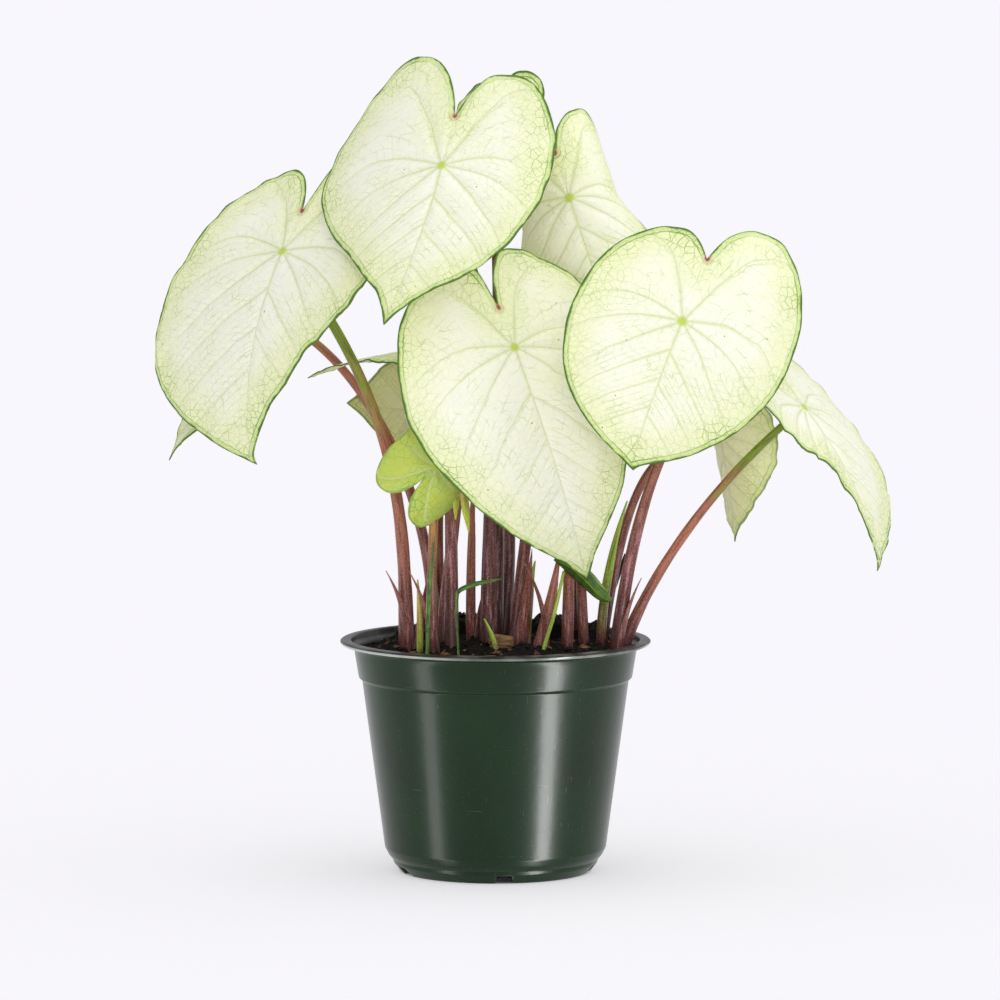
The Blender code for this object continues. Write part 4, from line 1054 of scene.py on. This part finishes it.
    # Brown specks 1 mm across, about 12 mm apart.
    dots = add(tree, CELLS, {"Vector": moved, "Scale": 1 / 12})
    dots = add(tree, RANGE, {0: dots, 1: 0.05, 2: 0.03, 4: 0.7})
    layers = [(tint, look.flush_colour), (show, look.net), (faint, look.net),
              (streak, look.side_vein), (vein_show, look.vein), (crease, look.crease),
              (band, look.band), (line, look.net), (rim, look.margin), (spot, look.joint),
              (halo, look.halo), (mark, look.mark), (dots, look.mark)]
    if young:
        limp = add(tree, MATH, {0: patches, 1: 2.4, 2: -0.9}, operation="MULTIPLY_ADD",
                   use_clamp=True)
        limp = add(tree, MIX, {0: limp, 6: rgba(look.young), 7: rgba(look.band)}, out=2,
                   data_type="RGBA")
        layers.insert(1, (0.9, limp))
    if under:
        layers.append((0.35, look.under))

    relief = add(tree, MATH, {0: vein, 1: 0.8}, operation="MULTIPLY")
    for pattern, share in ((rib, 0.35), (thread, 0.35), (fine, 0.15), (grain, 0.5)):
        relief = add(tree, MATH, {0: pattern, 1: share, 2: relief}, operation="MULTIPLY_ADD")
    bump = add(tree, BUMP, {"Height": relief, "Strength": 0.7, "Distance": 0.0003},
               invert=not under)
    gloss = add(tree, RANGE, {0: grain, 1: 0.3, 2: 0.7, 3: 0.42, 4: 0.55})
    return finish(look.heart, *layers, Roughness=gloss, Normal=bump, IOR=1.42,
                  Subsurface_Weight=look.through, Subsurface_Radius=(1.0, 1.1, 0.45),
                  Subsurface_Scale=0.0016)


def stem_skin(name, look, base, middle, top):
    """Leaf stalk: smooth juicy skin, mauve-brown low down and green above, finely streaked.

    Streaks and specks run along the stem, with lilac ones near the soil. It shines softly.
    """
    tree, finish = new_skin(name)
    grain, height = [add(tree, UV_MAP, uv_map=label) for label in ("grain", "height")]
    up = add(tree, SPLIT, {0: height})
    # Streaks 1.2 mm wide and 17 mm long, and specks 0.4 mm wide and 1.2 mm long.
    streak, speck = [
        add(tree, NOISE, {"Vector": add(tree, MAPPING, {0: grain, 3: scale}), "Scale": 1.0,
                          "Detail": detail, "Roughness": rough})
        for scale, detail, rough in (((0.8, 0.06, 1.0), 4, 0.6), ((2.6, 0.8, 1.0), 3, 0.7))]
    broad = add(tree, NOISE, {"Vector": grain, "Scale": 1 / 16, "Detail": 3.0})
    rise = add(tree, MATH, {0: broad, 1: 0.5, 2: up}, operation="MULTIPLY_ADD")
    rise = add(tree, MATH, {0: rise, 1: 0.25}, operation="SUBTRACT")
    low = add(tree, RANGE, {0: rise, 1: 0.05, 2: 0.55})
    high = add(tree, RANGE, {0: rise, 1: 0.75, 2: 1.1}, **SMOOTH)
    dark = add(tree, RANGE, {0: streak, 1: 0.52, 2: 0.36, 4: 0.6})
    lilac_low = add(tree, RANGE, {0: up, 1: 0.42, 2: 0.04, 4: 0.9})
    lilac = add(tree, RANGE, {0: streak, 1: 0.52, 2: 0.66})
    lilac = add(tree, MATH, {0: lilac, 1: lilac_low}, operation="MULTIPLY")
    worn = add(tree, RANGE, {0: up, 1: 0.35, 2: 1.0, 3: 1.0, 4: 0.3})
    specks = add(tree, RANGE, {0: speck, 1: 0.57, 2: 0.66, 4: 0.7})
    specks = add(tree, MATH, {0: specks, 1: worn}, operation="MULTIPLY")
    flecks = add(tree, RANGE, {0: speck, 1: 0.48, 2: 0.36, 4: 0.85})
    flecks = add(tree, MATH, {0: flecks, 1: worn}, operation="MULTIPLY")
    # The stalks darken towards the soil.
    low_darkening = add(tree, RANGE, {0: up, 1: 0.12, 2: 0.0, 4: 0.85})
    bump = add(tree, BUMP, {"Height": streak, "Strength": 0.3, "Distance": 0.0003})
    gloss = add(tree, RANGE, {0: speck, 1: 0.3, 2: 0.7, 3: 0.26, 4: 0.42})
    return finish(base, (low, middle), (high, top), (dark, look.dark), (lilac, look.lilac),
                  (specks, look.speck), (flecks, look.dark), (low_darkening, look.dark),
                  Roughness=gloss, Normal=bump, IOR=1.42, Subsurface_Weight=0.12,
                  Subsurface_Radius=(1.0, 0.6, 0.4), Subsurface_Scale=0.0012)


def weed_skin(name, look):
    """Grass and weed leaf: dark green blade with fine pale parallel veins and a light midrib."""
    tree, finish = new_skin(name)
    grain, height = [add(tree, UV_MAP, uv_map=label) for label in ("grain", "height")]
    across = add(tree, SPLIT, {0: height}, out=1)
    middle = add(tree, MATH, {0: across}, operation="ABSOLUTE")
    # Veins 0.5 mm apart and 20 mm long, and patches 5 mm across.
    line = add(tree, MAPPING, {0: grain, 3: (2.2, 0.05, 1.0)})
    lines = add(tree, NOISE, {"Vector": line, "Scale": 1.0, "Detail": 3.0})
    patch = add(tree, NOISE, {"Vector": grain, "Scale": 1 / 5, "Detail": 3.0})
    fade = add(tree, RANGE, {0: patch, 1: 0.4, 2: 0.65})
    pale = add(tree, RANGE, {0: lines, 1: 0.52, 2: 0.62, 4: 0.45})
    rib = add(tree, RANGE, {0: middle, 1: 0.12, 2: 0.03, 4: 0.7})
    bump = add(tree, BUMP, {"Height": lines, "Strength": 0.5, "Distance": 0.0002})
    return finish(look.weed, (fade, look.weed_light), (pale, look.sprout), (rib, look.sprout),
                  Roughness=0.4, Normal=bump, Subsurface_Weight=0.12,
                  Subsurface_Radius=(0.5, 1.0, 0.3), Subsurface_Scale=0.001)


def peat_skin(name, dark, light):
    """Damp peat: crumbs and fibres, nearly black with brown ones between, quite matt."""
    tree, finish = new_skin(name)
    here = add(tree, COORDINATES, out=IN_OBJECT)
    # Crumbs 2 mm across in lumps of 4 mm.
    crumbs = add(tree, NOISE, {"Vector": here, "Scale": 480.0, "Detail": 5.0, "Roughness": 0.65})
    lumps = add(tree, CELLS, {"Vector": here, "Scale": 260.0})
    mixed = add(tree, RANGE, {0: crumbs, 1: 0.45, 2: 0.72})
    height = add(tree, MATH, {0: lumps, 1: -0.7, 2: crumbs}, operation="MULTIPLY_ADD")
    bump = add(tree, BUMP, {"Height": height, "Strength": 1.0, "Distance": 0.0015})
    gloss = add(tree, RANGE, {0: crumbs, 1: 0.3, 2: 0.7, 3: 0.5, 4: 0.9})
    return finish(dark, (mixed, light), Roughness=gloss, Normal=bump, Specular_IOR_Level=0.2)


def bark_skin(name, look):
    """Composted pine bark: tan to brown, split into fibres along its length, matt."""
    tree, finish = new_skin(name)
    here = add(tree, COORDINATES, out=IN_OBJECT)
    # Fibres 1.3 mm thick and 11 mm long, and stains 4.5 mm across.
    along = add(tree, MAPPING, {0: here, 3: (90.0, 700.0, 900.0)})
    fibre = add(tree, NOISE, {"Vector": along, "Scale": 1.0, "Detail": 5.0, "Roughness": 0.6})
    stain = add(tree, NOISE, {"Vector": here, "Scale": 220.0, "Detail": 3.0})
    fade = add(tree, RANGE, {0: fibre, 1: 0.35, 2: 0.62})
    soot = add(tree, RANGE, {0: stain, 1: 0.55, 2: 0.7, 4: 0.7})
    bump = add(tree, BUMP, {"Height": fibre, "Strength": 0.9, "Distance": 0.0008})
    return finish(look.bark_dark, (fade, look.bark), (soot, look.peat), Roughness=0.85, Normal=bump)


def pot_skin(look):
    """Thermoformed plastic pot: deep green and glossy outside, lightly scuffed and dusty.

    Fine scratches run round and down, and pale specks of dried water sit on the wall.
    """
    tree, finish = new_skin("thermoformed green plastic")
    here = add(tree, COORDINATES, out=IN_OBJECT)
    cloud = add(tree, NOISE, {"Vector": here, "Scale": 22.0, "Detail": 4.0})
    soft = add(tree, RANGE, {0: cloud, 1: 0.35, 2: 0.7})
    scratch, streak = [
        add(tree, NOISE, {"Vector": add(tree, MAPPING, {0: here, 3: scale}), "Scale": 1.0,
                          "Detail": 3.0})
        for scale in ((60.0, 60.0, 900.0), (800.0, 800.0, 50.0))]
    lines = add(tree, RANGE, {0: scratch, 1: 0.70, 2: 0.76, 4: 0.06})
    runs = add(tree, RANGE, {0: streak, 1: 0.68, 2: 0.76, 4: 0.08})
    wear = add(tree, MATH, {0: lines, 1: runs}, operation="MAXIMUM")
    # Specks 0.4 mm across, about 2.4 mm apart.
    specks = add(tree, CELLS, {"Vector": here, "Scale": 420.0})
    specks = add(tree, RANGE, {0: specks, 1: 0.11, 2: 0.06, 4: 0.10})
    wear = add(tree, MATH, {0: wear, 1: specks}, operation="MAXIMUM")
    gloss = add(tree, RANGE, {0: wear, 1: 0.0, 2: 0.4, 3: look.gloss, 4: 0.55})
    ripple = add(tree, NOISE, {"Vector": here, "Scale": 130.0, "Detail": 2.0})
    bump = add(tree, BUMP, {"Height": ripple, "Strength": 0.10, "Distance": 0.0006})
    # A painted highlight: the lower outer lip is coloured as a pale line, broken by the clouds.
    height = add(tree, SPLIT, {0: here}, out=2)
    lip = add(tree, RANGE, {0: height, 1: LIP_HIGHLIGHT_FROM * MM, 2: LIP_HIGHLIGHT_FULL * MM, 4: 0.85})
    lip_highlight_strength = add(tree, RANGE, {0: cloud, 1: 0.38, 2: 0.52, 3: 0.25, 4: 1.0})
    lip = add(tree, MATH, {0: lip, 1: lip_highlight_strength}, operation="MULTIPLY")
    return finish(look.green, (soft, look.green_light), (wear, look.dust), (lip, look.lip),
                  Roughness=gloss, Normal=bump, IOR=1.49, Specular_IOR_Level=0.25)


def inner_pot_skin(look):
    """The black inner layer of the same sheet, showing on the rim: satin, with grey dust on it."""
    tree, finish = new_skin("black inner plastic")
    here = add(tree, COORDINATES, out=IN_OBJECT)
    cloud = add(tree, NOISE, {"Vector": here, "Scale": 90.0, "Detail": 4.0})
    dust = add(tree, RANGE, {0: cloud, 1: 0.45, 2: 0.75, 4: 0.3})
    bump = add(tree, BUMP, {"Height": cloud, "Strength": 0.2, "Distance": 0.0005})
    return finish(look.inside, (dust, look.dust), Roughness=0.3, Normal=bump, IOR=1.49)


# Where each light hangs, its two sides, its share of the main power, and what it lights.
LIGHTS = (
    ("key", (-0.5, -2.2, 1.5), (1.6, 1.2), 0.4, "plant"),
    ("front", (0.2, -3.3, 0.9), (1.2, 1.0), 0.9, "plant"),
    ("side", (1.9, -0.6, 1.6), (1.0, 1.4), 0.4, "plant"),
    ("top", (0.4, 0.6, 2.1), (1.4, 1.4), 0.6, "plant"),
    ("right_strip", (1.18, -0.95, -0.35), (0.09, 2.2), 3.2, "pot"),
    ("left_strip", (-1.36, -0.68, -0.35), (0.05, 2.2), 0.7, "pot"),
)
FLOOR_REACH = 40000.0
FLOOR_PLACES = 9
# The floor's painted shadow under the pot: full within the first distance, gone past the second.
SHADOW_EDGE_IN, SHADOW_EDGE_OUT = 0.047, 0.052  # distances from the middle of the pot, in metres


def floor_mesh():
    """A wide flat floor, as a grid of places from edge to edge."""
    side = np.linspace(-FLOOR_REACH, FLOOR_REACH, FLOOR_PLACES)
    x, y = np.meshgrid(side, side)
    points = np.stack((x, y, np.zeros_like(x)), -1).reshape(-1, 3)
    return new_mesh("floor", points, grid_quads(FLOOR_PLACES, FLOOR_PLACES))


def colour_prop(name, description, code):
    return FloatVectorProperty(name=name, description=description, default=linear(code), size=3,
                               min=0.0, max=1.0, subtype="COLOR")


def number_prop(name, description, default, low, high, **kind):
    return FloatProperty(name=name, description=description, default=default, min=low, max=high,
                         **kind)


class LeafLook(bpy.types.PropertyGroup):
    heart: colour_prop("Heart", "Blade colour round the joint", "#F6F7E4")
    flush_colour: colour_prop("Flush", "Blade colour towards the edge", "#E4ECAC")
    net: colour_prop("Net", "Threads of the fine net", "#648C28")
    vein: colour_prop("Vein", "Main veins", "#CDDE94")
    side_vein: colour_prop("Side vein", "Fine parallel side veins", "#B4CB7A")
    band: colour_prop("Band", "Light band inside the edge line", "#B2CF62")
    margin: colour_prop("Margin", "Thin line along the edge", "#3F6A04")
    # Colour of the painted shade in the furrows beside the main veins.
    crease: colour_prop("Crease", "Furrows beside the main veins", "#B3B990")
    joint: colour_prop("Joint", "Spot where the stalk joins", "#BCD244")
    halo: colour_prop("Halo", "Blush round the sinus mark", "#E0A9A0")
    mark: colour_prop("Mark", "Sinus mark and specks", "#8A3A28")
    under: colour_prop("Under side", "Tint of the back of the blade", "#EAE6B4")
    young: colour_prop("Young leaf", "Blade colour of a leaf still unrolling", "#BECB3A")
    thickness: number_prop("Thickness", "Thickness of a blade", 0.0006, 0.0002, 0.001,
                           unit="LENGTH")
    pleat: number_prop("Furrow depth in mm", "Depth of the furrows along the veins", 1.1, 0.0, 3.0)
    flush: number_prop("Flush width in mm", "How far in from the edge the flush fades",
                       30.0, 5.0, 80.0)
    net_size: number_prop("Net mesh in mm", "Width of one mesh of the net", 4.2, 1.0, 12.0)
    through: number_prop("Light through", "Share of light that passes into the blade",
                         0.35, 0.0, 1.0, subtype="FACTOR")


class StemLook(bpy.types.PropertyGroup):
    base: colour_prop("Base", "Stalk colour by the soil", "#7A433E")
    middle: colour_prop("Middle", "Stalk colour half way up", "#B8745A")
    shade: colour_prop("Shade", "Low colour of the oldest stalks", "#643A34")
    top: colour_prop("Top", "Stalk colour under the leaf", "#7C9322")
    # Colour of the dark streaks and of the darkening towards the soil.
    dark: colour_prop("Dark streaks", "Dark streaks and grime", "#3A1F1C")
    lilac: colour_prop("Lilac streaks", "Streaks low on the stalks", "#CFA0AE")
    speck: colour_prop("Specks", "Fine specks along the stalks", "#C4A08C")
    tan: colour_prop("Tan", "Drying orange-tan stalks", "#B98A46")
    sprout: colour_prop("Sprout", "Fresh green spikes", "#A4C63C")
    yellow: colour_prop("Yellow shoot", "Blanched yellow shoot", "#D6C05C")
    limp: colour_prop("Limp strips", "Torn strips of the young leaf", "#C2CC4A")
    weed: colour_prop("Weed", "Dark green weed blades", "#2E4E26")
    weed_light: colour_prop("Weed light", "Lighter parts of the weed", "#557A38")
    dead: colour_prop("Dead stick", "Old dead stem", "#2B211C")
    sheath_thickness: number_prop("Sheath thickness", "Thickness of a torn sheath",
                                  0.0005, 0.0001, 0.002, unit="LENGTH")


class PotLook(bpy.types.PropertyGroup):
    green: colour_prop("Green", "Pot colour", "#112C10")
    green_light: colour_prop("Light green", "Lighter clouds in the pot's colour", "#143819")
    inside: colour_prop("Inside", "Black inner layer and rim", "#101212")
    # Colour of the painted highlight along the lower outer lip.
    lip: colour_prop("Lip", "Rubbed edge of the rim", "#D5D8D2")
    dust: colour_prop("Dust", "Scuffs, specks and dust", "#A9B6A4")
    gloss: number_prop("Roughness", "Roughness of the clean plastic", 0.24, 0.02, 1.0,
                       subtype="FACTOR")


class SoilLook(bpy.types.PropertyGroup):
    peat: colour_prop("Peat", "Damp peat", "#070605")
    crumb: colour_prop("Crumb", "Browner crumbs", "#1A120E")
    bark: colour_prop("Bark", "Bark pieces", "#9A7650")
    bark_dark: colour_prop("Dark bark", "Dark fibres of the bark", "#5B4029")
    pale: colour_prop("Pale bits", "Pale bits of straw and grit", "#C9B78F")
    tuber: colour_prop("Tuber", "Corky skin of the tubers", "#5A4030")
    crumbs: number_prop("Crumb size in mm", "Size of the loose crumbs", 1.7, 0.5, 4.0)


class StageLook(bpy.types.PropertyGroup):
    floor: colour_prop("Floor", "White paper floor", "#F1F0F3")
    floor_glow: number_prop("Floor glow", "Light that comes up through the paper", 0.52, 0.0, 2.0)
    sky: colour_prop("Sky", "Light from all round", "#F6F5FA")
    sky_strength: number_prop("Sky strength", "Strength of the light all round", 0.60, 0.0, 5.0)
    key_power: number_prop("Key power", "Power of the soft main light in watts", 26.0, 0.0, 1000.0)


class CALADIUM_OT_leaves(bpy.types.Operator):
    """Build every leaf blade with its veins, in place of its plain solid"""

    bl_idname = "caladium.leaves"
    bl_label = "Leaf blades"

    def execute(self, context):
        look = context.scene.caladium_leaf
        skins = {kind: [leaf_skin(kind + " leaf" + side, look, kind == "young", side == " back")
                        for side in ("", " back")] for kind in ("white", "young")}
        for leaf in LEAVES:
            slot = "young_leaf" if leaf.kind == "young" else "leaf"
            mesh = leaf_mesh(leaf, look.pleat)
            obj = place(leaf.name + "_skin", mesh, skins[leaf.kind], slot, leaf.name)
            thicken(obj, look.thickness, under=1)
        return {"FINISHED"}


class CALADIUM_OT_stems(bpy.types.Operator):
    """Build the leaf stalks, rolled shoots and torn sheaths"""

    bl_idname = "caladium.stems"
    bl_label = "Stalks and shoots"

    def execute(self, context):
        look = context.scene.caladium_stem
        skins = {
            "stalk": stem_skin("mauve stalk", look, look.base, look.middle, look.top),
            "mauve": stem_skin("mauve shoot", look, look.base, look.middle, look.tan),
            "dark": stem_skin("dark stalk", look, look.shade, look.base, look.middle),
            "tan": stem_skin("tan stalk", look, look.base, look.tan, look.tan),
            "green": stem_skin("green spike", look, look.base, look.sprout, look.sprout),
            "yellow": stem_skin("yellow shoot", look, look.sprout, look.yellow, look.yellow),
            "stick": stem_skin("dead stick", look, look.dead, look.dead, look.dead),
        }
        leaves = {leaf.name: leaf for leaf in LEAVES}
        for seed, stalk in enumerate(STALKS):
            name = stalk.leaf.replace("blade", "stalk")
            points, radii, up = stalk_line(stalk, leaves[stalk.leaf])
            mesh = tube_mesh(name + "_skin", points, radii, up, stalk_shape(seed))
            place(name + "_skin", mesh, (skins[stalk.kind],), "stalk", name)
        for shoot in SHOOTS:
            points, radii, up = shoot_line(shoot)
            mesh = tube_mesh(shoot.name + "_skin", points, radii, up, rolled_shape)
            slot = "bark" if shoot.kind == "stick" else "shoot"
            place(shoot.name + "_skin", mesh, (skins[shoot.kind],), slot, shoot.name)
        for name, *shape in TONGUES:
            obj = place(name, sheath_mesh(name, *shape), (skins["mauve"],), "shoot")
            thicken(obj, look.sheath_thickness)
        return {"FINISHED"}


class CALADIUM_OT_weeds(bpy.types.Operator):
    """Build the grass blades, the broad weed leaf on its stem and the young leaf's torn strips"""

    bl_idname = "caladium.weeds"
    bl_label = "Weeds and strips"

    def execute(self, context):
        look = context.scene.caladium_stem
        green = weed_skin("weed leaf", look)
        limp = stem_skin("young leaf strip", look, look.yellow, look.limp, look.limp)
        for ribbons, skin, slot in ((RIBBONS, green, "weed"), (STRIPS, limp, "young_leaf")):
            for name, *shape in ribbons:
                nodes = (name,) if ribbons is RIBBONS else ()
                obj = place(name + "_skin", ribbon_mesh(name, *shape), (skin,), slot, *nodes)
                thicken(obj, look.sheath_thickness)
        line, up = smooth_rows(WEED_STEM, WEED_STEM_STEPS)
        radii = np.interp(up, (0, 0.7, 1), (1.1, 1.0, 0.8))
        mesh = tube_mesh("weed_stem_skin", line, radii, up)
        skin = stem_skin("weed stem", look, look.sprout, look.sprout, look.sprout)
        place("weed_stem_skin", mesh, (skin,), "weed", "weed_stem")
        return {"FINISHED"}


class CALADIUM_OT_soil(bpy.types.Operator):
    """Build the peat, its loose crumbs and the bark pieces, and finish the buried tubers"""

    bl_idname = "caladium.soil"
    bl_label = "Soil and bark"

    def execute(self, context):
        look = context.scene.caladium_soil
        peat = peat_skin("damp peat", look.peat, look.crumb)
        place("peat_skin", soil_mesh(), (peat,), "peat", "soil")
        # Loose bits: name, count, size, height over width, seed, two colours and length over width.
        crumbs = (
            ("crumbs_dark", 900, look.crumbs, 0.7, 3, look.peat, look.crumb, 1.0),
            ("crumbs_brown", 90, look.crumbs * 1.1, 0.6, 4, look.bark_dark, look.bark, 1.8),
            ("crumbs_pale", 46, look.crumbs * 0.6, 0.6, 8, look.bark, look.pale, 1.6),
        )
        for name, count, size, squash, seed, dark, light, stretch in crumbs:
            skin = peat_skin(name.replace("_", " "), dark, light)
            place(name, crumb_mesh(name, count, size, squash, seed, stretch), (skin,), "peat")
        bark = bark_skin("pine bark", look)
        for seed, (name, centre, size, turns) in enumerate(BARK):
            place(name + "_skin", bark_mesh(name, centre, size, turns, seed), (bark,), "bark", name)
        cork = peat_skin("tuber cork", look.tuber, look.bark)
        for name, _, _ in TUBERS:
            frame["nodes"][name].data.materials.clear()
            frame["nodes"][name].data.materials.append(cork)
        return {"FINISHED"}


class CALADIUM_OT_pot(bpy.types.Operator):
    """Build the turned green pot in place of its faceted solid"""

    bl_idname = "caladium.pot"
    bl_label = "Pot"

    def execute(self, context):
        look = context.scene.caladium_pot
        place("pot_skin", pot_mesh(), (pot_skin(look), inner_pot_skin(look)), "pot_plastic", "pot")
        return {"FINISHED"}


class CALADIUM_OT_stage(bpy.types.Operator):
    """Set up the pale floor, the soft lights and the camera"""

    bl_idname = "caladium.stage"
    bl_label = "Stage"

    def execute(self, context):
        look = context.scene.caladium_stage
        scene = context.scene
        sweep = floor_mesh()
        floor = bpy.data.objects.new("floor", sweep)
        scene.collection.objects.link(floor)
        tree, finish = new_skin("white paper floor")
        # Painted shadow: the paper's glow is taken away under the pot's foot, so the paper there is
        # dark.
        away = add(tree, COORDINATES, out=IN_OBJECT)
        away = add(tree, VECTOR, {0: away}, out=1, operation="LENGTH")
        glow = add(tree, RANGE, {0: away, 1: SHADOW_EDGE_IN, 2: SHADOW_EDGE_OUT, 4: look.floor_glow})
        paper = finish(look.floor, Roughness=1.0, Specular_IOR_Level=0.0,
                       Emission_Color=rgba(look.floor), Emission_Strength=glow)
        sweep.materials.append(paper)
        world = bpy.data.worlds.new("sky")
        world.use_nodes = True
        shade = world.node_tree.nodes["Background"]
        shade.inputs["Color"].default_value = rgba(look.sky)
        shade.inputs["Strength"].default_value = look.sky_strength
        scene.world = world
        lit = {part: bpy.data.collections.new("lit " + part) for part in ("plant", "pot")}
        shade_makers = bpy.data.collections.new("shade makers")
        for obj in scene.objects:
            if obj.type == "MESH" and obj is not floor:
                lit["pot" if obj.name == "pot_skin" else "plant"].objects.link(obj)
                shade_makers.objects.link(obj)
        for name, at, size, power, part in LIGHTS:
            lamp = bpy.data.lights.new(name, "AREA")
            lamp.shape = "RECTANGLE"
            lamp.size, lamp.size_y = size
            lamp.energy = power * look.key_power
            obj = bpy.data.objects.new(name, lamp)
            scene.collection.objects.link(obj)
            obj.location = at
            obj.rotation_euler = (Vector(AIM) - Vector(at)).to_track_quat("-Z", "Y").to_euler()
            obj.visible_camera = False
            obj.visible_diffuse = part == "plant"
            obj.light_linking.receiver_collection = lit[part]
            obj.light_linking.blocker_collection = shade_makers
        lens = bpy.data.cameras.new("camera")
        lens.lens = LENS
        lens.clip_end = 200
        eye = bpy.data.objects.new("camera", lens)
        scene.collection.objects.link(eye)
        eye.location = EYE
        eye.rotation_euler = (Vector(AIM) - Vector(EYE)).to_track_quat("-Z", "Y").to_euler()
        scene.camera = eye
        scene.view_settings.view_transform = "Standard"
        return {"FINISHED"}


class CALADIUM_PT_panel(bpy.types.Panel):
    """The caladium's pieces and their sizes and colours"""

    bl_label = "Potted caladium"
    bl_space_type = "VIEW_3D"
    bl_region_type = "UI"
    bl_category = "Caladium"

    def draw(self, context):
        for operator, look in zip(STEPS, ("leaf", "stem", "stem", "soil", "pot", "stage")):
            box = self.layout.box()
            box.operator(operator.bl_idname)
            group = getattr(context.scene, "caladium_" + look)
            for prop in group.bl_rna.properties:
                if prop.identifier in group.__annotations__:
                    box.prop(group, prop.identifier)


STEPS = (CALADIUM_OT_leaves, CALADIUM_OT_stems, CALADIUM_OT_weeds, CALADIUM_OT_soil,
         CALADIUM_OT_pot, CALADIUM_OT_stage)
LOOKS = (("caladium_leaf", LeafLook), ("caladium_stem", StemLook), ("caladium_soil", SoilLook),
         ("caladium_pot", PotLook), ("caladium_stage", StageLook))


def register():
    for name, group in LOOKS:
        bpy.utils.register_class(group)
        setattr(bpy.types.Scene, name, PointerProperty(type=group))
    for one in (*STEPS, CALADIUM_PT_panel):
        bpy.utils.register_class(one)


def unregister():
    for one in (CALADIUM_PT_panel, *reversed(STEPS)):
        bpy.utils.unregister_class(one)
    for name, group in LOOKS:
        delattr(bpy.types.Scene, name)
        bpy.utils.unregister_class(group)


def main():
    register()
    bpy.ops.caladium.leaves()
    bpy.ops.caladium.stems()
    bpy.ops.caladium.weeds()
    bpy.ops.caladium.soil()
    bpy.ops.caladium.pot()
    bpy.ops.caladium.stage()


if __name__ == "__main__":
    main()
